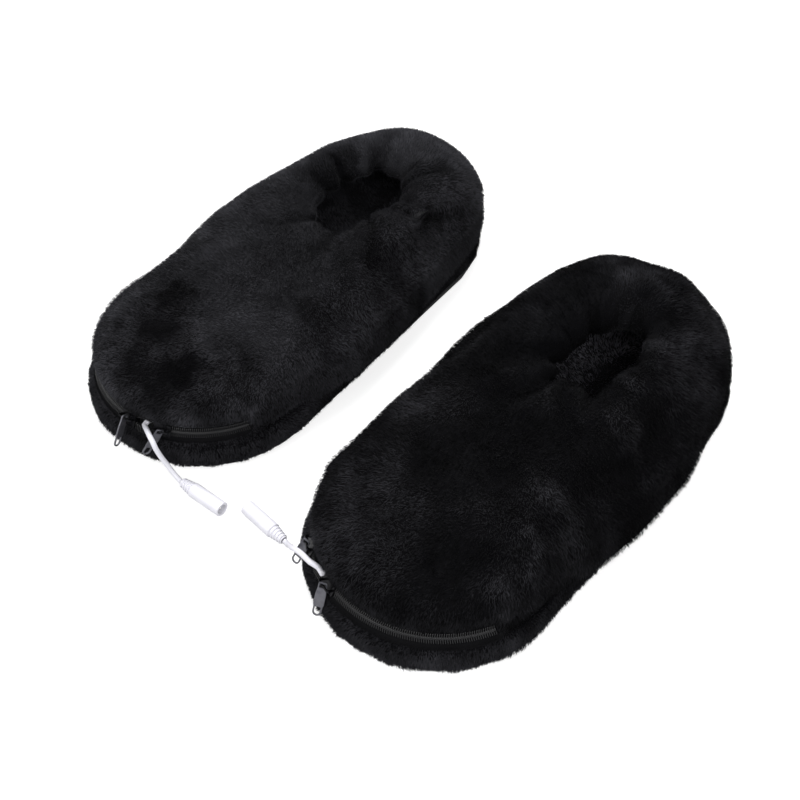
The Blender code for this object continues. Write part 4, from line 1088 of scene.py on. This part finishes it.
# %% Blades
def blade_roots_and_tips(read, skin, count, rng, seed, length, stroke, lean, long_at, cling):
    """Where each blade starts and ends, the skin's normal there and the blade's length."""
    root, normal = read(skin), unit(read(normals_of(skin)))
    up = unit(read(np.gradient(skin, axis=1)))
    way = np.array(stroke[:3]) + up * stroke[3]
    way = unit(way - normal * (way * normal).sum(-1, keepdims=True))
    side = np.cross(normal, way)
    turn = noises(root, seed, (1.0, 0.030, 1), (0.6, 0.011, 2))
    way = way * np.cos(turn)[:, None] + side * np.sin(turn)[:, None]
    flat = np.clip(lean + noises(root, seed, (0.28, 0.019, 3), (0.20, 0.006, 4)), 0.1, 1.3)[:, None]
    grow = unit(normal * np.cos(flat) + way * np.sin(flat) + 0.14 * rng.normal(size=root.shape))
    long = length * (0.7 + 0.6 * rng.random((count, 1)))
    long = long * (1 + 0.25 * noise(root, 0.014, seed + 5))[:, None]
    if long_at is not None:
        long = long * read(long_at[..., None])
    tip = root + grow * long
    pull = clump_centres(root, TUFT, seed + 6) - root
    pull = pull - normal * (pull * normal).sum(-1, keepdims=True)
    return root, tip + pull * cling * (0.5 + 0.5 * rng.random((count, 1))), normal, long


def pile(
    name, skin, count, seed, length, stroke, lean, finish, slot, tone,
    long_at=None, weight=None, cling=0.35, mottle=(0.7, 0.45),
):
    """Blades on a skin. stroke is the way it was stroked, lean how flat it lies, tone how light it is."""
    rng = np.random.default_rng(seed)
    read = scatter(skin, count, rng, weight)
    root, tip, normal, long = blade_roots_and_tips(
        read, skin, count, rng, seed, length, stroke, lean, long_at, cling
    )
    stray = 0.25 * np.linalg.norm(tip - root, axis=-1, keepdims=True) * rng.normal(size=root.shape)
    wide = unit(np.cross(tip - root, normal) + stray)
    half = BLADE / 2 * (0.7 + 0.6 * rng.random((count, 1)))
    low = root - normal * ROOT_DEPTH
    middle = low + (tip - low) * 0.55 + normal * 0.12 * long
    wide = wide * half
    corners = (low - wide, low + wide, middle + wide * 0.8, middle - wide * 0.8, tip)
    first = np.arange(count)[:, None] * 5
    faces = np.concatenate((first + (0, 1, 2), first + (0, 2, 3), first + (3, 2, 4)))
    points = np.stack(corners, 1).reshape(-1, 3)
    points[:, 2] = np.maximum(points[:, 2], LOWEST)
    data = mesh_of(name, points, faces)
    light = read(tone[..., None])[:, 0] + mottle[0] * noise(low, 0.006, seed + 8)
    light = light + mottle[1] * rng.normal(size=count)
    shade = np.clip(np.round(light), 0, len(finish) - 1).astype(np.int32)
    data.polygons.foreach_set("material_index", np.tile(shade, 3))
    return piece(name, data, finish, slot)


print("a blade is", BLADE * 1000, "mm wide at its root, and a tuft about", TUFT * 1000, "mm")

# %% [markdown]
# The right shoe's pile lies smooth and light over the foot and is ruffled at its toe. The left shoe's is
# ruffled in dark patches nearly all over. Above the zip it is trimmed, and brushed out over the zip's ends.

# %% Pile on the uppers
DENSE = 1.0
MOTTLE = {"right": (0.35, 0.28), "left": (0.6, 0.40)}
CLING = {"right": 0.20, "left": 0.32}
DOWN = (0.0, -0.5, 0.0, -1.0)
PLUSH_LONG, COVER_BLADES, BAND_BLADES = 0.0024, 64000, 52000
EDGE_ROWS = 16

for shoe in SHOES:
    at = shoe.cover_skin
    row = np.arange(at.shape[1])[None]
    from_end = np.abs(shoe.columns.toe_angle)[:, None] - ZIP_HALF
    trimmed = 0.65 * (1 - smoothstep((from_end + 0.10) / 0.06))
    brushed = 0.6 * np.exp(-((from_end / 0.05) ** 2))
    long_at = np.where(row < EDGE_ROWS, 1 + (brushed - trimmed) * (1 - row / EDGE_ROWS), 1.0)
    long_at = long_at * (1 - 0.5 * smoothstep((row - 78) / 8))
    for k in range(2):
        fur = pile(
            shoe.name("plush_pile_" + str(k + 1)), at, int(COVER_BLADES * DENSE), shoe.seed * 100 + k * 31,
            PLUSH_LONG, DOWN, 0.80, PILE, "plush", shoe.cover_tone, long_at,
            mottle=MOTTLE[shoe.side], cling=CLING[shoe.side],
        )
    print(shoe.side, "pile:", 2 * len(fur.data.polygons), "faces")

# %% [markdown]
# The band's pile is rougher: it was cut at its edge, so it frays out over the floor in an uneven fringe.

# %% Pile on the bands
OUT_AND_DOWN = (0.0, 0.0, -1.0, 0.0)
FRINGE = {"right": 0.7, "left": 1.15}
BAND_TONE = {"right": 2.7, "left": 2.9}
BAND_SHADE_UNDER_OVERHANG = 1.5

for shoe in SHOES:
    at = shoe.band_skin
    row = np.arange(at.shape[1])[None]
    ragged = np.clip(0.6 + 0.9 * noise(at, 0.007, shoe.seed + 63), 0.2, 1.8)
    long_at = np.where(row < 4, FRINGE[shoe.side] * ragged + 0.2, 1.0) * np.where(row > 13, 0.6, 1.0)
    tone = BAND_TONE[shoe.side] + noises(at, shoe.seed, (0.8, 0.016, 64), (0.5, 0.007, 65))
    # From the toe's sides round the heel, where the upper hangs over it, the band's pile is painted darker:
    # painted shade.
    tone = tone - BAND_SHADE_UNDER_OVERHANG * smoothstep((around_of(COLUMNS) - 0.105) / 0.06)[:, None]
    fringe = pile(
        shoe.name("band_pile"), at, int(BAND_BLADES * DENSE), shoe.seed * 100 + 71,
        PLUSH_LONG, OUT_AND_DOWN, 0.85, PILE, "plush", tone, long_at,
    )
    print(shoe.side, "band pile:", len(fringe.data.polygons), "faces")

# %% [markdown]
# ## Sockets
#
# The socket is a moulded sleeve turned about the cable's axis: a ribbed strain relief, a shoulder, a round
# body and a rim with a bore for the plug. A turned profile with fine rounded corners is all it needs.


# %% Profile of a socket
RELIEF_LONG, BODY_LONG, BODY_RADIUS = 0.0088, 0.0220, 0.00432
BORE, BORE_DEEP, CABLE_HOLE = 0.0029, 0.0100, 0.0016
SOCKET_ROUND = 0.00042
RIBS, RIB_PITCH, RIB_GROW = 4, 0.0019, 0.00028


def corner_arc(before, corner, after, radius, steps):
    """Points that cut a corner round between its two neighbours."""
    a, b = before - corner, after - corner
    reach = min(radius, 0.45 * np.linalg.norm(a), 0.45 * np.linalg.norm(b))
    start, end = corner + a / np.linalg.norm(a) * reach, corner + b / np.linalg.norm(b) * reach
    return [start * (1 - t) ** 2 + corner * 2 * t * (1 - t) + end * t * t for t in np.linspace(0, 1, steps)]


def socket_profile():
    """Distance along and radius: from the cable's end outside to the rim, and back through the bore."""
    corners = [(0.0002, CABLE_HOLE), (0.0002, 0.0023)]
    for rib in range(RIBS):
        start, low = 0.0010 + rib * RIB_PITCH, 0.0023 + rib * RIB_GROW
        corners += [(start, low), (start + 0.0001, low + 0.00060)]
        corners += [(start + 0.0009, low + 0.00065), (start + 0.0010, low + 0.0001)]
    rim = RELIEF_LONG + BODY_LONG
    corners += [(RELIEF_LONG - 0.0002, 0.0034), (RELIEF_LONG, BODY_RADIUS), (rim, BODY_RADIUS), (rim, BORE)]
    corners += [(rim - BORE_DEEP, BORE), (rim - BORE_DEEP, CABLE_HOLE)]
    corners = np.array(corners)
    neighbours = zip(np.roll(corners, 1, 0), corners, np.roll(corners, -1, 0))
    return np.array([point for three in neighbours for point in corner_arc(*three, SOCKET_ROUND, 4)])


def turned(profile, origin, heading, around=56):
    """Points of a closed profile turned about a level axis, [turn][profile]."""
    along = np.array((math.cos(heading), math.sin(heading), 0))
    across = np.array((-along[1], along[0], 0))
    turns = np.linspace(0, 2 * math.pi, around, endpoint=False)
    radial = across * np.cos(turns)[:, None] + np.array((0, 0, 1.0)) * np.sin(turns)[:, None]
    return origin + along * profile[None, :, :1] + radial[:, None] * profile[None, :, 1:]


print("a socket's profile has", len(socket_profile()), "points")

# %% [markdown] The contacts inside keep their solids.


# %% Sockets, and the contacts inside them
def socket(shoe):
    points = turned(socket_profile(), shoe.socket, shoe.heading)
    faces = grid_faces(points.shape[1], len(points))
    points = shoe.from_toe(points)
    sleeve = built(shoe, "socket_sleeve", points, faces, WHITE, "white_plastic", "socket_housing")
    sleeve.data.validate()
    inner = [shoe.name(part) for part in ("socket_insulator", "socket_pin", "socket_contact")]
    for part, finish in zip(inner, (WHITE, NICKEL, NICKEL)):
        NODES[part].data.materials.clear()
        NODES[part].data.materials.append(finish)
    line = cable_line(shoe)
    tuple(line[0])
    return sleeve


for shoe in SHOES:
    sleeve = socket(shoe)
    corners = np.array([v.co for v in sleeve.data.vertices])
    print(sleeve.name, "from", np.round(corners.min(0), 4), "to", np.round(corners.max(0), 4))

# %% [markdown]
# ## The zip
#
# A coil zip is a monofilament wound into slanted loops and sewn to a tape's edge. The two coils mesh half a
# pitch apart. Between the sliders they stand apart, and the cable comes out there.


# %% Places on the zip, and tubes
ZIP_GAP = 0.0032


def zip_point(angle, across, out):
    """Points of the zip: angle about the toe's centre, up across the tape, and out of its plane."""
    angle, across, out = np.broadcast_arrays(angle, across, out)
    radial = ZIP_RADIUS - across * math.sin(ZIP_LEAN) + out * math.cos(ZIP_LEAN)
    height = ZIP_HEIGHT + across * math.cos(ZIP_LEAN) + out * math.sin(ZIP_LEAN)
    return np.stack((np.sin(angle) * radial, -np.cos(angle) * radial, height), -1)


def parting(shoe, angle):
    """How far each row stands off the zip's middle."""
    start, end = shoe.sliders
    inside = (angle > start) & (angle < end)
    return np.where(inside, ZIP_GAP * np.sin(math.pi * (angle - start) / (end - start)), 0)


def tubes(paths, radius, around=6):
    """Capped tubes along many paths of equally many points: points and quad faces."""
    count, length = paths.shape[:2]
    along = unit(np.gradient(paths, axis=1))
    side = unit(np.cross(along, (0.13, 0.21, 0.97)))
    other = np.cross(along, side)
    turns = np.linspace(0, 2 * math.pi, around, endpoint=False)
    ring = side[:, :, None] * np.cos(turns)[:, None] + other[:, :, None] * np.sin(turns)[:, None]
    points = paths[:, :, None] + ring * radius
    i, j, k = np.meshgrid(np.arange(count), np.arange(length - 1), np.arange(around), indexing="ij")
    base = (i * length + j) * around
    after = (k + 1) % around
    faces = np.stack((base + k, base + after, base + around + after, base + around + k), -1).reshape(-1, 4)
    ends = []
    for row, order in ((0, (0, 3, 2, 1)), (length - 1, (0, 1, 2, 3))):
        start = (np.arange(count) * length + row) * around
        for fan in range(around // 2 - 1):
            corners = np.array((0, 1 + 2 * fan, 2 + 2 * fan, (3 + 2 * fan) % around))
            ends.append(start[:, None] + corners[list(order)])
    return points.reshape(-1, 3), np.concatenate((faces, *ends))


print("the rows part by up to", 2 * ZIP_GAP * 1000, "mm")

# %% [markdown]
# Each tooth is one U-loop of the monofilament: in at the back of the tape, round the nose and out again in
# front. All loops of a row are one array of paths, so a row is made in one step.


# %% Rows of teeth
PITCH = 0.00112
FILAMENT = 0.00031
ROW_HALF, NOSE = 0.0028, 0.00035
LOOP_HALF, LOOP_SLANT, LEG_SLANT = 0.00072, 0.00034, 0.0004


def teeth(shoe, side):
    """One row: a U-loop of monofilament for each tooth, its nose over the zip's middle."""
    half = ZIP_HALF - ROW_END
    count = int(2 * half * ZIP_RADIUS / PITCH)
    middle = (np.arange(count) + (0.25 if side > 0 else 0.75)) / count * 2 * half - half
    share = np.linspace(0, 1, 13)
    turn = np.clip((share - 0.3) / 0.4, 0, 1) * math.pi
    leg = np.clip(np.where(share < 0.5, 1 - share / 0.3, (share - 0.7) / 0.3), 0, 1)
    across = -NOSE - NOSE * np.sin(turn) + leg * (ROW_HALF + NOSE)
    slant = LOOP_SLANT * np.cos(turn) + LEG_SLANT * leg
    angle = middle[:, None] + slant / ZIP_RADIUS
    paths = zip_point(angle, side * (across + parting(shoe, middle)[:, None]), -LOOP_HALF * np.cos(turn))
    row = "upper" if side > 0 else "lower"
    loops = tubes(shoe.from_toe(paths), FILAMENT)
    return built(shoe, "teeth_" + row, *loops, TEETH, "coil", "zip_coil_" + row)


for shoe in SHOES:
    rows = [teeth(shoe, 1), teeth(shoe, -1)]
    print(shoe.side, "teeth:", [len(ob.data.polygons) for ob in rows], "faces")

# %% [markdown]
# The tapes run from the rows back into the shoe and turn up behind the cover, or down behind the band. Each
# is a section of a few points, swept round the toe, and it parts with its row.


# %% Tapes
TAPE_HALF, TAPE_RIB, TAPE_START, TAPE_BEND = 0.00025, 0.00004, 0.0009, 0.0016
TAPE_COLUMNS = 260
# flat part, drop or rise to the hem, hem, and the hem's radius, for the upper and the lower tape
TAPES = {
    1: (0.0062, 0.0011, 0.0040, TOE_RADIUS - (UPPER_INSET + COVER + 0.0005)),
    -1: (0.0068, 0.0014, 0.0072, TOE_RADIUS - 0.0056),
}


def smooth_line(line, radius, steps=5):
    """A line with its inner corners turned on a radius."""
    turns = [p for three in zip(line, line[1:], line[2:]) for p in corner_arc(*three, radius, steps)]
    return np.array([line[0], *turns, line[-1]])


def tape(shoe, side):
    """A woven tape with a slightly proud edge where the row of teeth is sewn on."""
    flat, bend, hem, radius = TAPES[side]
    angles = np.linspace(-ZIP_HALF, ZIP_HALF, TAPE_COLUMNS)
    sections = []
    for shift in parting(shoe, angles):
        first, last = zip_point(0.0, side * (TAPE_START + shift), 0.0), zip_point(0.0, side * flat, 0.0)
        turn = last[2] + side * bend
        line = ((-first[1], first[2]), (-last[1], last[2]), (radius, turn), (radius, turn + side * hem))
        line = smooth_line(np.array(line), TAPE_BEND)
        start = [line[0] + (line[1] - line[0]) * t for t in np.linspace(0, 1, 7)[:-1]]
        sections.append(start + list(line[1:]))
    line = np.array(sections)
    along = np.gradient(line, axis=1)
    along /= np.linalg.norm(along, axis=-1, keepdims=True)
    normal = np.stack((-along[..., 1], along[..., 0]), -1)
    half = TAPE_HALF + TAPE_RIB * np.sin(np.arange(line.shape[1]) * 2.1)[None, :, None]
    loop = np.concatenate((line + normal * half, (line - normal * half)[:, ::-1]), 1)
    out = np.stack((np.sin(angles), -np.cos(angles)), -1)[:, None]
    points = np.concatenate((out * loop[..., :1], loop[..., 1:]), -1)
    faces = grid_faces(loop.shape[1], TAPE_COLUMNS, True, False)
    faces = faces if side > 0 else faces[:, ::-1]
    row = "upper" if side > 0 else "lower"
    return built(shoe, "tape_" + row, shoe.from_toe(points), faces, TAPE, "tape", "zip_tape_" + row)


for shoe in SHOES:
    print(shoe.side, "tapes:", [len(tape(shoe, side).data.polygons) for side in (1, -1)], "faces")

# %% [markdown]
# Short threads with gaps between them sew the rows of teeth on, and one more line holds the lower hem.


# %% Stitches
THREAD, THREAD_LONG, THREAD_GAP = 0.00016, 0.0019, 0.0007


def stitches(shoe, side, across, label, parts=True):
    """A line of sewing, which parts with the teeth where it holds them."""
    half = ZIP_HALF - ROW_END
    count = int(2 * half * ZIP_RADIUS / (THREAD_LONG + THREAD_GAP))
    middle = (np.arange(count) + 0.5) / count * 2 * half - half
    share = np.linspace(-0.5, 0.5, 7)
    angle = middle[:, None] + share * THREAD_LONG / ZIP_RADIUS
    shift = parting(shoe, middle)[:, None] if parts else 0.0
    out = TAPE_HALF + THREAD * 0.9 - 0.0003 * (2 * share) ** 4
    paths = zip_point(angle, side * (across + shift), out[None])
    return built(shoe, label, *tubes(shoe.from_toe(paths), THREAD), TAPE, "tape")


for shoe in SHOES:
    sewing = [stitches(shoe, 1, 0.0033, "stitches_upper"), stitches(shoe, -1, 0.0033, "stitches_lower")]
    sewing.append(stitches(shoe, -1, 0.0058, "stitches_hem", parts=False))
    print(shoe.side, "stitches:", [len(ob.data.polygons) for ob in sewing], "faces")

# %% [markdown]
# ## Inside: lining, wadding, elastic and insole
#
# The inner layers use the same columns at other depths. The lining is a short curly fleece, so its face
# goes in and out a little, and the wadding between the cloths has the form of the dents.


# %% Inner layers
ABOVE_ZIP, LAYER_LAST = 0.0142, 75.0
LAYER_COLUMNS, LAYER_WALL = 260, 5
# Tone of the fleece in each shoe. The left shoe's is much lighter: painted light where its mouth lies in
# shade.
FLEECE_TONE_AND_PAINTED_LIGHT = {"right": 0.7, "left": 3.0}
FLEECE_LOOK = {"cling": 0.35, "mottle": (0.3, 0.2)}


def shell(shoe, label, node, shallow, deep, hem, finish, slot, rough):
    """A closed layer between two depths, from over the sole up to the mouth, and its inner face."""
    cols = Columns(shoe, LAYER_COLUMNS).loosen(GATHER[shoe.side])
    foot = cols.foot(ABOVE_ZIP, LAYER_LAST)
    t = np.linspace(0, 1, 44)[None] * cols.hem(hem)[:, None]
    outer = np.concatenate((cols.wall(LAYER_WALL, foot, shallow), cols.surface(t, shallow)), 1)
    inner = np.concatenate((cols.wall(LAYER_WALL, foot, deep), cols.surface(t, deep)), 1)
    rows = np.concatenate((np.zeros((len(t), LAYER_WALL)), t), 1)
    sink = np.minimum(relief_of(shoe, cols, outer, rows)[0] - SEAT, 0.0)[..., None]
    outer, inner = outer + normals_of(outer) * sink, inner + normals_of(inner) * sink
    wave = noises(inner, shoe.seed, (rough, 0.006, 31), (rough, 0.017, 32))
    inner = inner - normals_of(inner) * np.abs(wave)[..., None]
    layer = closed_skin(shoe, label, np.concatenate((outer, inner[:, ::-1]), 1), finish, slot, node)
    return layer, shoe.to_frame(inner)


for shoe in SHOES:
    wadding, _ = shell(
        shoe, "wadding", "upper_wadding", COVER + SEAT, LINING_DEPTH - SEAT, 0.009, FOAM, "foam", 0.0
    )
    lining, inner = shell(
        shoe, "lining", "upper_lining", LINING_DEPTH, UPPER_DEPTH, 0.0086, FLEECE_SKIN, "fleece", 0.0006
    )
    at = inner[::-1, LAYER_WALL:]
    share = np.linspace(0, 1, at.shape[1])[None]
    tone = FLEECE_TONE_AND_PAINTED_LIGHT[shoe.side] + 0.9 * noise(at, 0.012, shoe.seed + 66)
    fleece = pile(
        shoe.name("fleece_pile"), at, int(30000 * DENSE), shoe.seed * 100 + 91, 0.0015, DOWN, 0.9,
        FLEECE, "fleece", tone, **FLEECE_LOOK,
        weight=np.broadcast_to(0.05 + smoothstep((share - 0.35) / 0.3), at.shape[:2]),
    )
    print(wadding.name, lining.name, fleece.name)

# %% [markdown]
# Slabs close the sole from below: foam, heating pad and insole. Each is one outline drawn in to a line
# along its middle, with its edges turned on a small radius.


# %% Slabs
def slab(shoe, label, node, edge, spine, levels, finish, slot, wave=None, rings=10):
    """A closed slab: rings from the bottom's middle round the edge to the top's middle."""
    middle = edge.copy()
    middle[:, 0] = 0
    middle[:, 1] = np.clip(edge[:, 1], *spine)
    inward = unit(middle - edge)

    def face(level, shares):
        start = edge + inward * level[0]
        return [start + (middle - start) * share + (0, 0, level[1]) for share in shares]

    grid = face(levels[0], np.linspace(1, 0, rings)[:-1])
    grid += [edge + inward * inset + (0, 0, z) for inset, z in levels]
    grid = np.stack(grid + face(levels[-1], np.linspace(0, 1, rings)[1:]), 1)
    if wave is not None:
        size, height = wave
        on_top = np.zeros(grid.shape[1])
        on_top[-rings:] = np.clip(np.arange(rings) / 2, 0, 1)
        grid[..., 2] += height * noise(grid, size, shoe.seed + 41) * on_top
    faces = grid_faces(grid.shape[1], len(edge), False)
    ob = built(shoe, label, shoe.to_frame(grid), faces, finish, slot, node)
    welded = bmesh.new()
    welded.from_mesh(ob.data)
    bmesh.ops.remove_doubles(welded, verts=welded.verts, dist=1e-6)
    bmesh.ops.dissolve_degenerate(welded, dist=1e-7, edges=welded.edges)
    welded.to_mesh(ob.data)
    welded.free()
    return ob


def turned_edge(inset, low, high, radius, steps=4):
    """Levels (inset, height) of an edge with both corners turned."""
    angles = np.linspace(0, math.pi / 2, steps)
    turns = [(radius * (1 - math.sin(t)), radius * (1 - math.cos(t))) for t in angles]
    return [(inset + a, low + b) for a, b in turns] + [(inset + b, high - a) for a, b in turns]


def pad_edge(half_x, half_y, corner, centre_y, steps=9):
    """A rounded rectangle."""
    found = []
    for sx, sy, start in ((1, 1, 0), (-1, 1, 1), (-1, -1, 2), (1, -1, 3)):
        for t in np.linspace(0, 1, steps):
            angle = math.pi / 2 * (start + t)
            x = sx * (half_x - corner) + corner * math.cos(angle)
            found.append((x, centre_y + sy * (half_y - corner) + corner * math.sin(angle), 0))
    return np.array(found)


print("a turned edge has", len(turned_edge(0, 0, 0.01, 0.001)), "levels")

# %% [markdown]
# The foam is firm and the felt is flat, and the insole is covered with the same fleece as the lining. Its
# pile grows only where it can be seen, under the mouth and the heel. The elastic runs in the rolled rim.


# %% Sole, pad, insole and elastic
SPINE = (TOE_Y, HEEL_Y)
PAD_TOP, INSOLE_BOTTOM, INSOLE_TOP = 0.0203, 0.0225, 0.0270
ELASTIC_RADIUS = 0.0010


def insole_bed(edge, rings=24):
    """The insole's upper face under heel and mouth, as a grid [column][ring] with its normals up."""
    middle = edge.copy()
    middle[:, 0], middle[:, 1] = 0, np.clip(edge[:, 1], -0.02, HEEL_Y)
    rim = edge + unit(middle - edge) * 0.020
    rim[:, 1] = np.maximum(rim[:, 1], -0.03)
    share = np.linspace(0.02, 1, rings)[None, :, None]
    return middle[:, None] + (rim - middle)[:, None] * (1 - share) + (0, 0, INSOLE_TOP)


for shoe in SHOES:
    edge = outline(np.arange(240) / 240, 0.0)[0]
    levels = turned_edge(0.0050, 0.0033, BAND_TOP, 0.0016)
    foam = slab(shoe, "foam", "sole_foam", edge, SPINE, levels, FOAM, "foam")
    levels = turned_edge(0.0, SOLE_TOP, PAD_TOP, 0.0006)
    pad_outline = pad_edge(0.043, 0.095, 0.018, 0.010)
    pad = slab(shoe, "felt_pad", "heater_pad", pad_outline, (-0.050, 0.070), levels, FELT, "felt")
    levels = turned_edge(0.0155, INSOLE_BOTTOM, INSOLE_TOP - 0.0006, 0.0018)
    insole = slab(
        shoe, "fleece_insole", "insole", edge, SPINE, levels, FLEECE_SKIN, "fleece",
        wave=(0.011, 0.0005), rings=26,
    )
    bed = insole_bed(edge)
    tone = FLEECE_TONE_AND_PAINTED_LIGHT[shoe.side] + 0.9 * noise(bed, 0.012, shoe.seed + 67)
    pile(
        shoe.name("insole_pile"), shoe.to_frame(bed), int(20000 * DENSE), shoe.seed * 100 + 97,
        0.0016, DOWN, 0.9, FLEECE, "fleece", tone, **FLEECE_LOOK,
    )
    ring = shoe.columns.surface(np.ones(1), UPPER_DEPTH / 2)[::3, 0]
    cord = round_bar(shoe.name("elastic"), shoe.to_frame(ring), ELASTIC_RADIUS, 3)
    cord.splines[0].use_cyclic_u = True
    cord.use_fill_caps = False
    piece(shoe.name("elastic"), cord, ELASTIC, "elastic", [shoe.name("mouth_elastic")])
    print(shoe.side, "slabs:", [len(ob.data.polygons) for ob in (foam, pad, insole)], "faces")

# %% [markdown]
# ## Hard pieces kept from the solids
#
# Sliders, tabs, stops and the inner cable already have their real form. A fine bevel catches the light as
# a die-cast edge does, and smooth shading is kept to the rounded stretches.


# %% Bevelled hard pieces
BEVELS = {
    # width of the bevel, 0 for what is round already
    "zip_slider_1": (GUNMETAL, 0.00022), "zip_slider_2": (GUNMETAL, 0.00022),
    "pull_tab_1": (TAB_METAL, 0.00028), "pull_tab_2": (TAB_METAL, 0.00028),
    "zip_stop_outer": (GUNMETAL, 0.00025), "zip_stop_inner": (GUNMETAL, 0.00025),
    "outsole": (GRIP, 0.0004), "heater_joint": (WHITE, 0.0006),
    "heater_lead": (WHITE, 0.0), "heating_wire": (WIRE, 0.0),
}


def soften(ob, finish, width):
    """Gives a solid its material, a bevel on its sharp edges and smooth shading."""
    ob.data.materials.clear()
    ob.data.materials.append(finish)
    weld = ob.modifiers.new("weld", "WELD")
    weld.merge_threshold = 1e-6
    if width:
        bevel = ob.modifiers.new("edges", "BEVEL")
        bevel.width = width
        bevel.segments = 2
        bevel.limit_method = "ANGLE"
        bevel.angle_limit = math.radians(28)
    ob.data.shade_smooth()
    smooth = ob.modifiers.new("normals", "WEIGHTED_NORMAL")
    smooth.keep_sharp = True


for shoe in SHOES:
    for node, (finish, width) in BEVELS.items():
        soften(NODES[shoe.name(node)], finish, width)
    print(shoe.side, "shoe's hard pieces:", ", ".join(BEVELS))

# %% [markdown]
# ## Stage and light
#
# The floor is grey, so that it throws little light up at the shoes, and only the camera sees it glow, so
# that it looks white and keeps a faint shadow.

# %% Floor and world
FLOOR_HALF, FLOOR_GLOW, WORLD_LIGHT = 3.0, 0.72, 0.55
WHITE_LIGHT = (1, 1, 1, 1)

corners = np.array(((-1, -1, 0), (1, -1, 0), (1, 1, 0), (-1, 1, 0))) * FLOOR_HALF
floor = bpy.data.objects.new("floor", mesh_of("floor", corners, np.array([[0, 1, 2, 3]]), False))
bpy.context.scene.collection.objects.link(floor)
finish = bpy.data.materials.new("floor")
finish.use_nodes = True
tree = finish.node_tree
shader = setting(
    tree.nodes["Principled BSDF"],
    Base_Color=(0.5, 0.5, 0.5, 1), Roughness=1.0, Specular_IOR_Level=0.0, Emission_Color=WHITE_LIGHT,
)
path = tree.nodes.new("ShaderNodeLightPath")
glow = tree.nodes.new("ShaderNodeMath")
glow.operation = "MULTIPLY"
glow.inputs[1].default_value = FLOOR_GLOW
wire(
    tree,
    (path.outputs["Is Camera Ray"], glow.inputs[0]),
    (glow.outputs[0], shader.inputs["Emission Strength"]),
)
floor.data.materials.append(finish)

world = bpy.data.worlds.new("studio")
bpy.context.scene.world = world
world.use_nodes = True
setting(world.node_tree.nodes["Background"], Color=WHITE_LIGHT, Strength=WORLD_LIGHT)
print("floor", 2 * FLOOR_HALF, "m wide, world light", WORLD_LIGHT)

# %% [markdown]
# A soft lamp above and behind draws the plush. Two weaker ones, to the right and in front of the toes, open
# the dark sides. All are discs nearly a metre wide, so no edge of a shadow is hard.


# %% Lamps and view
def lamp(name, place, target, size, power):
    data = bpy.data.lights.new(name, "AREA")
    data.shape = "DISK"
    data.size = size
    data.energy = power
    ob = bpy.data.objects.new(name, data)
    bpy.context.scene.collection.objects.link(ob)
    ob.location = place
    ob.rotation_euler = (Vector(target) - Vector(place)).to_track_quat("-Z", "Y").to_euler()


lamp("key", (-0.5, 0.5, 1.3), (0, 0, 0), 0.9, 22.0)
lamp("fill", (0.9, -0.5, 0.9), (0, 0, 0), 0.8, 8.0)
lamp("front", (-0.3, -1.2, 0.7), (0, -0.1, 0), 0.8, 6.0)
view = bpy.context.scene.view_settings
view.view_transform, view.look, view.exposure, view.gamma = "Standard", "None", 0.0, 1.0
